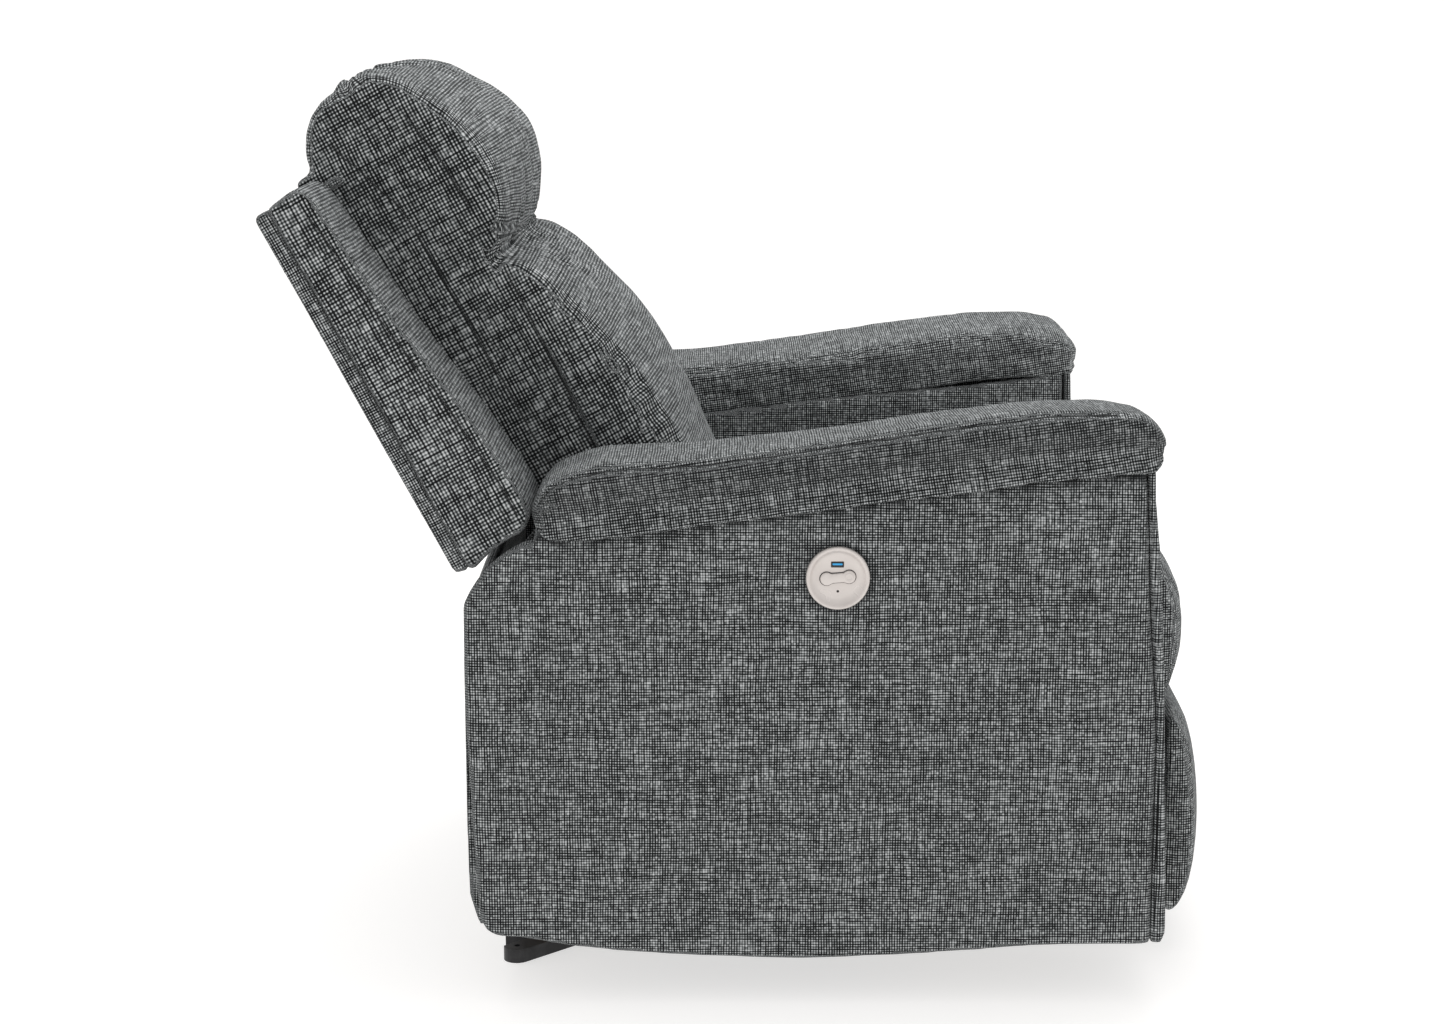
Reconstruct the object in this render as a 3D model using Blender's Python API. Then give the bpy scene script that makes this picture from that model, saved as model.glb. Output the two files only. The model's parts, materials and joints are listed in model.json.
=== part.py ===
"""Power rocker recliner armchair, in metres.

+Z is up and the chair faces -Y. The sitter's right hand, with the power control, is at -X. The origin lies on
the floor under the middle of the chair. Side outlines are lists of (y, z); the back's parts are drawn in its
own slanted axes, (along, forward), measured from the recline pivot.
"""

import math

import bmesh
import bpy
from mathutils import Vector

GAP = 0.0005  # clearance between neighbouring pieces
SIDES = (("left", 1), ("right", -1))

# Widths, from the middle plane outwards
CUSHION_HALF = 0.277
ARM_INNER = 0.285
ARM_PAD_INNER = 0.283
ARM_PAD_OUTER = 0.468
SIDE_INNER = 0.418
SIDE_OUTER = 0.440
WING_INNER = 0.284
WING_OUTER = 0.430
FOOTREST_HALF = 0.270

# Joints, as (y, z)
ROCK_AXIS = (0.0, 0.0185)
RECLINE_PIVOT = (0.200, 0.400)
DRIVE_PIVOT = (-0.3154, 0.2774)
IDLER_PIVOT = (-0.345, 0.247)
ELBOW = (-0.3420, 0.0666)
IDLER_END = (-0.3599, 0.0576)
WRIST = (-0.440, 0.217)
BACK_LEAN = math.radians(28.1)
BACK_SWEEP = 0.144  # radius of the wings' lower edge about the recline pivot
SIDE_SWEEP = 0.132  # radius of the side panels' rear top corner about the same pivot

# Base and rockers
RAIL_X = (0.213, 0.255)
RAIL_HEIGHT = 0.0185
RAIL_HALF = 0.297
RAIL_WALL = 0.003
FOOT_CENTER = (0.298, 0.280)  # the rear feet's round pads, in plan
FOOT_RADIUS = 0.0156
FOOT_HOLE = 0.0035
CROSS_BAR = (0.026, 0.012)
CROSS_CORNER = (0.200, 0.1784)  # where a cross bar turns onto the diagonal
CAM_X = (0.219, 0.249)
CAM_RADIUS = 0.45
CAM_LOW = 0.0235
CAM_TOP = 0.140
CAM_HALF = 0.26
SPRING_X = 0.190
SPRING_RADIUS = 0.016
SPRING_WIRE = 0.0028
SPRING_LOW = 0.0155  # the top of the rail's lug, where the spring stands
SPRING_HIGH = 0.1280  # the underside of the rocker's lug

# Chassis
CROSS_RAIL_Z = (0.1405, 0.180)
CROSS_RAIL_Y = (0.235, 0.270)
PLATE_X = (0.262, 0.266)
PLATE_LOW = 0.1815
TRACK_Y = (-0.25, 0.15)
PIVOT_BORE = 0.0066
PIVOT_PIN = 0.0060
PIN_END = 0.2670
PIN_HEAD = (0.2668, 0.2695)
LINK_BORE = 0.0045
LINK_PIN = 0.0040

# Footrest link planes, outwards from the middle
DRIVE_PLANE = (0.2485, 0.2520)
FRONT_PLANE = (0.2530, 0.2565)
IDLER_PLANE = (0.2575, 0.2610)
LINK_HALF = 0.010
TORQUE_RADIUS = 0.0125
CRANK_LENGTH = 0.050
CRANK_ANGLE = math.radians(-40)

# Actuator
ACTUATOR_RAIL_Y = (-0.250, 0.270)
ACTUATOR_RAIL_Z = (0.1805, 0.2065)
CARRIAGE_Y = -0.1569
CARRIAGE_PIVOT_Z = 0.2375

# Seat
SEAT_FRAME_Z = (0.3075, 0.3275)
SEAT_FRAME_Y = (-0.400, 0.100)
SEAT_FRAME_HALF = 0.260
SEAT_TUBE = 0.024
SEAT_SPRING_X = (-0.165, -0.055, 0.055, 0.165)

# Back, along and forward of the recline pivot
PANEL_FORWARD = (-0.069, -0.059)
BACK_TOP = 0.571
FRAME_FORWARD = (0.008, 0.032)
FRAME_ALONG = (0.060, 0.545)
FRAME_HALF = 0.256
FRAME_TUBE = 0.024

# Power control on the right side panel
CONTROL_Y = -0.082
CONTROL_Z = 0.484
CONTROL_RADIUS = 0.0345
CUP_RADIUS = 0.0270
SWITCH_TILT = math.radians(7)
SWITCH_PIVOT_X = -0.4418
USB_RISE = 0.0145

FABRIC = (0.115, 0.125, 0.132)
BLACK_STEEL = (0.02, 0.02, 0.022)


# --- helpers ---------------------------------------------------------------------------------------------

def clear_scene():
    for old in list(bpy.data.objects):
        bpy.data.objects.remove(old, do_unlink=True)


def material(name, color, roughness, metallic=0.0):
    found = bpy.data.materials.get(name)
    if found:
        return found
    made = bpy.data.materials.new(name)
    made.use_nodes = True
    shader = made.node_tree.nodes["Principled BSDF"]
    shader.inputs["Base Color"].default_value = (*color, 1.0)
    shader.inputs["Roughness"].default_value = roughness
    shader.inputs["Metallic"].default_value = metallic
    return made


def joint_empty(name, point, parent=None, x=0.0):
    """An empty on a joint's axis; point is (y, z)."""
    empty = bpy.data.objects.new(name, None)
    bpy.context.collection.objects.link(empty)
    empty.location = (x, *point)
    hang(empty, parent)
    bpy.context.view_layer.update()
    return empty


def hang(piece, parent):
    if parent:
        piece.parent = parent
        piece.matrix_parent_inverse = parent.matrix_world.inverted()


def place(name, data, look, parent):
    """Puts mesh or curve data, drawn in world coordinates, on the joint that carries it."""
    piece = bpy.data.objects.new(name, data)
    bpy.context.collection.objects.link(piece)
    finish = look.copy()
    finish.name = f"{name}_finish"
    data.materials.append(finish)
    hang(piece, parent)
    return piece


def mesh_from(name, build):
    """A mesh whose faces all point outwards; build fills in the bmesh."""
    shape = bmesh.new()
    build(shape)
    bmesh.ops.recalc_face_normals(shape, faces=shape.faces)
    mesh = bpy.data.meshes.new(name)
    shape.to_mesh(mesh)
    shape.free()
    mesh.shade_smooth()
    mesh.set_sharp_from_angle(angle=math.radians(35))
    return mesh


def loft(name, rings, look, parent=None):
    """A closed body through rings of equally many points, capped at both ends."""
    def build(shape):
        rows = [[shape.verts.new(point) for point in ring] for ring in rings]
        count = len(rows[0])
        for near, far in zip(rows, rows[1:]):
            for i in range(count):
                j = (i + 1) % count
                shape.faces.new((near[i], near[j], far[j], far[i]))
        shape.faces.new(list(reversed(rows[0])))
        shape.faces.new(rows[-1])
    return place(name, mesh_from(name, build), look, parent)


def bevel(piece, width, segments=1):
    modifier = piece.modifiers.new("edges", "BEVEL")
    modifier.width = width
    modifier.segments = segments
    modifier.limit_method = "ANGLE"
    modifier.angle_limit = math.radians(40)
    return piece


def side_prism(name, outline, x_range, look, parent=None):
    """A (y, z) outline pushed through from one x to the other."""
    rings = [[(x, y, z) for y, z in outline] for x in x_range]
    return loft(name, rings, look, parent)


def plan_prism(name, outline, z_range, look, parent=None):
    """An (x, y) outline pushed up from one z to the other."""
    rings = [[(x, y, z) for x, y in outline] for z in z_range]
    return loft(name, rings, look, parent)


def box(name, low, high, look, parent=None):
    outline = [(low[1], low[2]), (high[1], low[2]), (high[1], high[2]), (low[1], high[2])]
    return side_prism(name, outline, (low[0], high[0]), look, parent)


def mirrored(x_range, side):
    """An x range given outwards from the middle, on the left (+1) or right (-1), low to high."""
    return sorted(side * x for x in x_range)


def arc(center, radius, start, end, steps):
    """Points on an arc in degrees, both ends included."""
    angles = [math.radians(start + (end - start) * i / steps) for i in range(steps + 1)]
    return [(center[0] + radius * math.cos(a), center[1] + radius * math.sin(a)) for a in angles]


def smooth_loop(points, per_span=3):
    """A closed Catmull-Rom curve through the points."""
    count = len(points)
    curve = []
    for i in range(count):
        a, b, c, d = (Vector(points[(i + k) % count]) for k in (-1, 0, 1, 2))
        for step in range(per_span):
            t = step / per_span
            point = 0.5 * (2 * b + (c - a) * t + (2 * a - 5 * b + 4 * c - d) * t * t
                           + (3 * b - a - 3 * c + d) * t ** 3)
            curve.append(tuple(point))
    return curve


def combine(piece, other, operation):
    """Cuts another object out of a piece, or joins it on."""
    other.hide_render = True
    other.display_type = "WIRE"
    modifier = piece.modifiers.new(operation.lower(), "BOOLEAN")
    modifier.operation = operation
    modifier.solver = "EXACT"
    modifier.object = other
    return piece


def drum(name, center, radius, x_range, look, parent=None, steps=16):
    """A round bar along X; center is (y, z)."""
    return side_prism(name, arc(center, radius, 0, 360 - 360 / steps, steps - 1), x_range, look, parent)


def drill(piece, center, radius, x_range):
    name = f"cut_{piece.name}_{len(piece.modifiers)}"
    return combine(piece, drum(name, center, radius, x_range, piece.data.materials[0]), "DIFFERENCE")


def rivet(piece, center, radius, x_range, head=None):
    """A round pin joined to the piece; head is the x range of a wider head at its end."""
    look = piece.data.materials[0]
    combine(piece, drum(f"pin_{piece.name}", center, radius, x_range, look), "UNION")
    if head:
        combine(piece, drum(f"head_{piece.name}", center, radius * 1.6, head, look), "UNION")
    return piece


def bar_outline(start, end, half, steps=8):
    """A flat bar with round ends between two (y, z) centres."""
    heading = math.degrees(math.atan2(end[1] - start[1], end[0] - start[0]))
    return (arc(start, half, heading + 90, heading + 270, steps)
            + arc(end, half, heading - 90, heading + 90, steps))


def wire(name, points, radius, look, parent=None, resolution=0):
    """A round wire or tube along a list of points."""
    curve = bpy.data.curves.new(name, "CURVE")
    curve.dimensions = "3D"
    curve.bevel_depth = radius
    curve.bevel_resolution = resolution
    curve.use_fill_caps = True
    spline = curve.splines.new("POLY")
    spline.points.add(len(points) - 1)
    for target, point in zip(spline.points, points):
        target.co = (*point, 1)
    return place(name, curve, look, parent)


def back_point(along, forward):
    """(y, z) of a point in the back's slanted axes."""
    lean_y, lean_z = math.sin(BACK_LEAN), math.cos(BACK_LEAN)
    return (RECLINE_PIVOT[0] + along * lean_y - forward * lean_z,
            RECLINE_PIVOT[1] + along * lean_z + forward * lean_y)


def shifted_loop(outline, inset, swell, heading):
    """A closed outline drawn in along its normals, and swollen where it faces the heading."""
    area = sum(a[0] * b[1] - b[0] * a[1] for a, b in zip(outline, outline[1:] + outline[:1]))
    turn = 1 if area > 0 else -1
    moved = []
    for i, point in enumerate(outline):
        before, after = Vector(outline[i - 1]), Vector(outline[(i + 1) % len(outline)])
        run = (after - before).normalized()
        outwards = Vector((run.y, -run.x)) * turn
        amount = swell * max(0.0, outwards.dot(heading)) - inset
        moved.append(tuple(Vector(point) + outwards * amount))
    return moved


def cushion(name, outline, half_width, parent, rounding, crown, heading):
    """A fabric pad with a side outline, rounded off at both ends and crowned towards the heading."""
    inner = half_width - rounding
    ends = [(inner + rounding * math.sin(math.radians(a)), rounding * (1 - math.cos(math.radians(a))))
            for a in (0, 30, 60, 86)]
    halves = [(inner * t, 0.0) for t in (0.0, 0.35, 0.7)] + ends
    stations = [(-x, i) for x, i in reversed(halves[1:])] + halves
    rings = []
    for x, inset in stations:
        swell = crown * (1 - (x / half_width) ** 2)
        rings.append([(x, y, z) for y, z in shifted_loop(outline, inset, swell, Vector(heading))])
    return loft(name, rings, fabric(), parent)


# --- looks -------------------------------------------------------------------------------------------------

def fabric():
    return material("fabric", FABRIC, 0.95)


def steel():
    return material("black_steel", BLACK_STEEL, 0.45, 0.6)


def zinc():
    return material("zinc_steel", (0.45, 0.45, 0.44), 0.4, 1.0)


def timber():
    return material("timber", (0.55, 0.38, 0.21), 0.7)


def champagne():
    return material("champagne_plastic", (0.62, 0.58, 0.55), 0.35, 0.3)


def black_plastic():
    return material("black_plastic", (0.015, 0.015, 0.016), 0.5)


# --- base --------------------------------------------------------------------------------------------------

def rear_foot(label, side):
    """A tongue that leaves the rail on the diagonal and ends in a round pad, in plan."""
    middle_x, middle_y = FOOT_CENTER
    edge = FOOT_RADIUS * math.sqrt(2)
    run_front = middle_x - middle_y + edge
    run_rear = run_front - CROSS_BAR[0] * math.sqrt(2)
    meeting = math.degrees(math.acos((middle_x - middle_y - run_rear) / edge))
    start = RAIL_X[1] - 0.001
    outline = ([(start, start - run_front)] + arc(FOOT_CENTER, FOOT_RADIUS, -45, 135 - meeting, 9)
               + [(start, start - run_rear)])
    outline = [(side * x, y) for x, y in outline]
    return plan_prism(f"add_foot_{label}", outline, (0.0, RAIL_HEIGHT - 0.0025), steel())


def base_rail(label, side):
    """A channel, open downwards, whose rear end has a foot that reaches outwards."""
    x_low, x_high = mirrored(RAIL_X, side)
    rail = box(f"base_rail_{label}", (x_low, -RAIL_HALF, 0), (x_high, RAIL_HALF, RAIL_HEIGHT), steel())
    hollow = box(f"cut_rail_{label}", (x_low + RAIL_WALL, -RAIL_HALF + RAIL_WALL, -0.01),
                 (x_high - RAIL_WALL, RAIL_HALF - RAIL_WALL, RAIL_HEIGHT - RAIL_WALL), steel())
    combine(rail, hollow, "DIFFERENCE")
    combine(rail, rear_foot(label, side), "UNION")
    ring = arc((side * FOOT_CENTER[0], FOOT_CENTER[1]), FOOT_HOLE, 0, 330, 11)
    hole = plan_prism(f"cut_foot_hole_{label}", ring, (0.006, RAIL_HEIGHT + 0.01), steel())
    combine(rail, hole, "DIFFERENCE")
    lug_x = mirrored((SPRING_X - 0.020, RAIL_X[0] + 0.004), side)
    lug = box(f"add_rail_lug_{label}", (lug_x[0], -0.020, SPRING_LOW - 0.003),
              (lug_x[1], 0.020, SPRING_LOW), steel())
    return combine(rail, lug, "UNION")


def base_cross(label, end):
    """A flat bar across the chair whose ends run out on the diagonal to the feet."""
    half, height = CROSS_BAR[0] / 2, CROSS_BAR[1]
    (corner_x, corner_y), reach = CROSS_CORNER, RAIL_X[0] - GAP
    lean = half * math.tan(math.radians(22.5))
    outer = [(-reach, corner_y + (reach - corner_x) + half * math.sqrt(2)),
             (-corner_x + lean, corner_y + half), (corner_x - lean, corner_y + half),
             (reach, corner_y + (reach - corner_x) + half * math.sqrt(2))]
    inner = [(reach, corner_y + (reach - corner_x) - half * math.sqrt(2)),
             (corner_x + lean, corner_y - half), (-corner_x - lean, corner_y - half),
             (-reach, corner_y + (reach - corner_x) - half * math.sqrt(2))]
    outline = [(x, end * y) for x, y in outer + inner]
    return plan_prism(f"base_cross_{label}", outline, (0.0, height), steel())


def rocker_spring(label, side):
    """A coil spring standing between the rail's lug and the rocker's lug."""
    turns, steps = 5, 10
    low, high = SPRING_LOW + GAP + SPRING_WIRE, SPRING_HIGH - GAP - SPRING_WIRE
    points = []
    for i in range(turns * steps + 1):
        angle = 2 * math.pi * i / steps
        rise = low + (high - low) * i / (turns * steps)
        across, along = SPRING_RADIUS * math.cos(angle), SPRING_RADIUS * math.sin(angle)
        points.append((side * SPRING_X + across, along, rise))
    return wire(f"rocker_spring_{label}", points, SPRING_WIRE, zinc())


def build_base():
    for label, side in SIDES:
        base_rail(label, side)
        rocker_spring(label, side)
    base_cross("front", -1)
    base_cross("rear", 1)


# --- chassis -----------------------------------------------------------------------------------------------

def rocker_cam(label, side, parent):
    """A block with a curved underside that rolls on the base rail."""
    reach = math.degrees(math.asin(CAM_HALF / CAM_RADIUS))
    curve = arc((0, CAM_LOW + CAM_RADIUS), CAM_RADIUS, 270 - reach, 270 + reach, 14)
    outline = curve + [(CAM_HALF, CAM_TOP), (-CAM_HALF, CAM_TOP)]
    cam = side_prism(f"rocker_cam_{label}", outline, mirrored(CAM_X, side), steel(), parent)
    lug_x = mirrored((SPRING_X - 0.022, CAM_X[0] + 0.006), side)
    lug = box(f"add_cam_lug_{label}", (lug_x[0], -0.022, SPRING_HIGH),
              (lug_x[1], 0.022, SPRING_HIGH + 0.004), steel())
    return combine(cam, lug, "UNION")


def cross_rail(label, end, parent):
    y_low, y_high = sorted(end * y for y in CROSS_RAIL_Y)
    reach = SIDE_INNER - GAP
    rail = box(f"cross_rail_{label}", (-reach, y_low, CROSS_RAIL_Z[0]), (reach, y_high, CROSS_RAIL_Z[1]),
               timber(), parent)
    return bevel(rail, 0.003)


def mechanism_plate(label, side, parent):
    """A stamped side plate that carries the back's pivot, the footrest's pivots and the seat track."""
    y, z = RECLINE_PIVOT
    outline = ([(-0.372, 0.262), (-0.357, 0.225), (-0.300, PLATE_LOW), (0.180, PLATE_LOW), (0.228, 0.260)]
               + arc((y, z), 0.028, 0, 180, 8)
               + [(0.150, 0.318), (-0.290, 0.303), (-0.335, 0.300), (-0.362, 0.288)])
    plate = side_prism(f"mechanism_plate_{label}", outline, mirrored(PLATE_X, side), steel(), parent)
    flange = box(f"add_flange_{label}", (min(side * 0.264, side * 0.284), -0.285, PLATE_LOW - GAP),
                 (max(side * 0.264, side * 0.284), 0.178, PLATE_LOW + 0.003), steel())
    combine(plate, flange, "UNION")
    span = mirrored((PLATE_X[0] - 0.01, PLATE_X[1] + 0.01), side)
    for center in (RECLINE_PIVOT, DRIVE_PIVOT, IDLER_PIVOT):
        drill(plate, center, PIVOT_BORE, span)
    return plate


def seat_track(label, side, parent):
    """An angle on the inside of the plate that the seat frame slides on."""
    inner, outer = 0.236, PLATE_X[0] - GAP
    section = [(inner, 0.3035), (outer - 0.0035, 0.3035), (outer - 0.0035, 0.2850), (outer, 0.2850),
               (outer, 0.3070), (inner, 0.3070)]
    rings = [[(side * x, y, z) for x, z in section] for y in TRACK_Y]
    return loft(f"seat_track_{label}", rings, steel(), parent)


def side_outline():
    """The outer side panel, from its rear top corner round by the rear edge, bottom and front."""
    y, z = RECLINE_PIVOT
    corner = arc((y, z), SIDE_SWEEP, 66, 23, 6)
    rear = [(0.3215, 0.350), (0.3175, 0.250), (0.3125, 0.140), (0.3085, 0.098), (0.301, 0.083),
            (0.288, 0.078)]
    bottom = [(0.262, 0.0765), (0.214, 0.068), (0.149, 0.061), (0.066, 0.055), (-0.046, 0.052),
              (-0.150, 0.055), (-0.300, 0.067), (-0.430, 0.069)]
    front = [(-0.4305, 0.303), (-0.4275, 0.355), (-0.4190, 0.453), (-0.4120, 0.594)]
    return corner + rear + bottom + front


def side_panel(label, side, parent):
    panel = side_prism(f"side_panel_{label}", side_outline(), mirrored((SIDE_INNER, SIDE_OUTER), side),
                       fabric(), parent)
    bevel(panel, 0.005, 2)
    if side < 0:
        drill(panel, (CONTROL_Y, CONTROL_Z), CUP_RADIUS + 0.0008, (-0.46, -0.40))
    return panel


def arm_front(label, side, parent):
    """The narrow upholstered panel that closes the arm at the front."""
    seam = [(-0.4315, 0.069), (-0.4320, 0.303), (-0.4290, 0.355), (-0.4205, 0.453), (-0.4135, 0.592)]
    face = [(-0.4210, 0.592), (-0.4230, 0.562), (-0.4300, 0.499), (-0.4375, 0.363), (-0.4455, 0.146),
            (-0.4465, 0.085), (-0.4440, 0.071)]
    reach = mirrored((ARM_INNER, SIDE_OUTER), side)
    panel = side_prism(f"arm_front_{label}", seam + face, reach, fabric(), parent)
    return bevel(panel, 0.0025)


def inner_arm_panel(label, side, parent):
    outline = [(-0.4105, PLATE_LOW), (-0.4105, 0.588), (0.245, 0.516), (0.284, 0.472), (0.292, 0.440),
               (0.292, PLATE_LOW)]
    reach = mirrored((ARM_INNER, ARM_INNER + 0.014), side)
    panel = side_prism(f"inner_arm_panel_{label}", outline, reach, fabric(), parent)
    return bevel(panel, 0.003)


# The arm pad's underside and top, at stations from rear to front, with how far its ends pull in
ARM_STATIONS = (
    (0.2480, 0.540, 0.552, 0.60), (0.2400, 0.531, 0.572, 0.90), (0.2200, 0.5285, 0.595, 0.98),
    (0.1700, 0.5335, 0.610, 1.0), (0.0700, 0.545, 0.616, 1.0), (-0.0500, 0.5605, 0.630, 1.0),
    (-0.1700, 0.5765, 0.650, 1.0), (-0.2900, 0.5925, 0.664, 1.0), (-0.3700, 0.6000, 0.667, 1.0),
    (-0.4080, 0.6010, 0.661, 0.98), (-0.4250, 0.6010, 0.649, 0.93), (-0.4325, 0.6080, 0.633, 0.75),
)


def arm_pad(label, side, parent):
    """A pillow-top pad: rounded sections threaded along the arm from rear to front."""
    middle = (ARM_PAD_INNER + ARM_PAD_OUTER) / 2
    half = (ARM_PAD_OUTER - ARM_PAD_INNER) / 2
    rings = []
    for y, low, high, share in ARM_STATIONS:
        ring = []
        for i in range(16):
            angle = 2 * math.pi * i / 16
            across, rise = math.cos(angle), math.sin(angle)
            x = middle + half * share * math.copysign(abs(across) ** 0.5, across)
            z = (low + high) / 2 + (high - low) / 2 * math.copysign(abs(rise) ** 0.7, rise)
            ring.append((side * x, y, z))
        rings.append(ring)
    return loft(f"arm_pad_{label}", rings, fabric(), parent)


def rear_panel(parent):
    """The rear body panel: bulged outwards, with its top drawn in below the back."""
    outer = [(0.312, 0.085), (0.322, 0.120), (0.330, 0.200), (0.333, 0.290), (0.331, 0.380), (0.322, 0.440),
             (0.311, 0.462)]
    inner = [(0.299, 0.462), (0.307, 0.435), (0.315, 0.370), (0.317, 0.290), (0.314, 0.200), (0.307, 0.120),
             (0.299, 0.085)]
    reach = SIDE_INNER - GAP
    return side_prism("rear_panel", outer + inner, (-reach, reach), fabric(), parent)


def build_chassis(parent):
    for label, side in SIDES:
        rocker_cam(label, side, parent)
        mechanism_plate(label, side, parent)
        seat_track(label, side, parent)
        side_panel(label, side, parent)
        arm_front(label, side, parent)
        inner_arm_panel(label, side, parent)
        arm_pad(label, side, parent)
    cross_rail("front", -1, parent)
    cross_rail("rear", 1, parent)
    rear_panel(parent)


# --- power control and actuator ----------------------------------------------------------------------------

def dog_bone(scale=1.0):
    """The switch's outline about its own centre: two round pads joined by a narrower waist."""
    left = arc((-0.0118, 0), 0.0068 * scale, 50, 310, 10)
    right = arc((0.0118, 0), 0.0068 * scale, -130, 130, 10)
    return left + right


def tilted(points):
    """Outline points turned with the switch and moved to the control's centre; the front end is higher."""
    cos, sin = math.cos(SWITCH_TILT), math.sin(SWITCH_TILT)
    return [(CONTROL_Y + u * cos + v * sin, CONTROL_Z - u * sin + v * cos) for u, v in points]


def control_bezel(parent):
    """A round bezel with a raised rim and a dished face, pierced for the switch, port and a small hole."""
    face = SIDE_OUTER + 0.0005
    section = [(-face, CONTROL_RADIUS - 0.0015), (-face - 0.0015, CONTROL_RADIUS),
               (-face - 0.0045, CONTROL_RADIUS - 0.0008), (-face - 0.0055, CONTROL_RADIUS - 0.0030),
               (-face - 0.0050, CONTROL_RADIUS - 0.0055), (-face - 0.0025, CONTROL_RADIUS - 0.0095)]
    rings = []
    for x, radius in section:
        rings.append([(x, y, z) for y, z in arc((CONTROL_Y, CONTROL_Z), radius, 0, 348.75, 31)])
    bezel = loft("control_bezel", rings, champagne(), parent)
    depth = (-face - 0.02, -face + 0.01)
    combine(bezel, side_prism("cut_switch", tilted(dog_bone(1.07)), depth, champagne()), "DIFFERENCE")
    low = (depth[0], CONTROL_Y - 0.0074, CONTROL_Z + USB_RISE - 0.0036)
    high = (depth[1], CONTROL_Y + 0.0074, CONTROL_Z + USB_RISE + 0.0036)
    combine(bezel, box("cut_port", low, high, champagne()), "DIFFERENCE")
    return drill(bezel, (CONTROL_Y, CONTROL_Z - 0.0150), 0.0011, depth)


def control_cup(parent):
    """The cup behind the bezel, open towards it."""
    front, back, wall = -SIDE_OUTER - 0.0001, -0.4010, 0.0016
    profile_outer = [(front, CUP_RADIUS), (back, CUP_RADIUS)]
    rings = [[(x, y, z) for y, z in arc((CONTROL_Y, CONTROL_Z), radius, 0, 348.75, 31)]
             for x, radius in profile_outer]
    cup = loft("control_cup", rings, black_plastic(), parent)
    hollow = drum("cut_cup", (CONTROL_Y, CONTROL_Z), CUP_RADIUS - wall, (front - 0.01, back - wall),
                  black_plastic(), steps=32)
    return combine(cup, hollow, "DIFFERENCE")


def usb_port(parent):
    """A type A socket: a frame, its mouth and the tongue inside it."""
    y, z = CONTROL_Y, CONTROL_Z + USB_RISE
    front, back = -SIDE_OUTER - 0.0030, -SIDE_OUTER + 0.0110
    frame = box("usb_port", (front, y - 0.0070, z - 0.0032), (back, y + 0.0070, z + 0.0032),
                black_plastic(), parent)
    mouth = box("cut_usb", (front - 0.01, y - 0.0061, z - 0.0024), (back - 0.0015, y + 0.0061, z + 0.0024),
                black_plastic())
    combine(frame, mouth, "DIFFERENCE")
    tongue = box("add_usb_tongue", (front + 0.0008, y - 0.0052, z + 0.0002),
                 (back - 0.001, y + 0.0052, z + 0.0018), black_plastic())
    return combine(frame, tongue, "UNION")


def rocker_switch(parent):
    """The dog-bone switch, crowned along its length and dimpled at its front end."""
    outer, inner = -SIDE_OUTER - 0.0048, -SIDE_OUTER + 0.0060
    switch = side_prism("rocker_switch", tilted(dog_bone()), (outer, inner), champagne(), parent)
    dimple = tilted([(-0.0118, 0.0)])[0]
    drill(switch, dimple, 0.0028, (outer - 0.01, outer + 0.0008))
    return switch


def actuator_rail(parent):
    """A channel, open upwards, that guides the carriage."""
    low, high = ACTUATOR_RAIL_Z
    half, wall = 0.013, 0.0025
    section = [(-half, low), (half, low), (half, high), (half - wall, high), (half - wall, low + wall),
               (-half + wall, low + wall), (-half + wall, high), (-half, high)]
    rings = [[(x, y, z) for x, z in section] for y in ACTUATOR_RAIL_Y]
    return loft("actuator_rail", rings, material("rail_steel", (0.35, 0.35, 0.36), 0.4, 1.0), parent)


def actuator_motor(parent):
    """The gearbox on the rail's rear end, with the round motor lying beside it."""
    top = ACTUATOR_RAIL_Z[1] + GAP
    gearbox = box("actuator_motor", (-0.034, 0.060, top), (0.034, 0.130, top + 0.058),
                  black_plastic(), parent)
    motor = drum("add_motor", (0.095, top + 0.028), 0.024, (0.030, 0.130), black_plastic(), steps=20)
    combine(gearbox, motor, "UNION")
    return bevel(gearbox, 0.003)


def actuator_carriage(parent):
    """The nut block that slides along the rail, with the clevis for the push rod."""
    top = ACTUATOR_RAIL_Z[1] + GAP
    y = CARRIAGE_Y
    block = box("actuator_carriage", (-0.016, y - 0.020, top), (0.016, y + 0.020, top + 0.014),
                black_plastic(), parent)
    for x_low in (-0.0125, 0.0075):
        outline = ([(y - 0.010, top + 0.010), (y + 0.010, top + 0.010)]
                   + arc((y, CARRIAGE_PIVOT_Z), 0.010, 0, 180, 8))
        ear = side_prism(f"add_ear_{x_low}", outline, (x_low, x_low + 0.005), black_plastic())
        combine(block, ear, "UNION")
        drill(block, (y, CARRIAGE_PIVOT_Z), 0.0044, (x_low - 0.001, x_low + 0.006))
    return block


def crank_end():
    return (DRIVE_PIVOT[0] + CRANK_LENGTH * math.cos(CRANK_ANGLE),
            DRIVE_PIVOT[1] + CRANK_LENGTH * math.sin(CRANK_ANGLE))


def push_rod(parent):
    """The rod between carriage and crank; its front eye is left open round the crank's pin."""
    start = (CARRIAGE_Y, CARRIAGE_PIVOT_Z)
    rod = side_prism("push_rod", bar_outline(start, crank_end(), 0.0075), (-0.006, 0.006), steel(), parent)
    return rivet(rod, start, 0.004, (-0.0140, 0.0140))


def power_inlet(parent):
    """A two-pole low-voltage inlet under the rear cross rail, its socket facing down."""
    low, high = (0.170, 0.240, 0.1130), (0.202, 0.262, CROSS_RAIL_Z[0] - GAP)
    inlet = box("power_inlet", low, high, black_plastic(), parent)
    socket = box("cut_inlet", (low[0] + 0.006, low[1] + 0.006, low[2] - 0.01),
                 (high[0] - 0.006, high[1] - 0.006, low[2] + 0.012), black_plastic())
    return combine(inlet, socket, "DIFFERENCE")


# --- seat --------------------------------------------------------------------------------------------------

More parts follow.
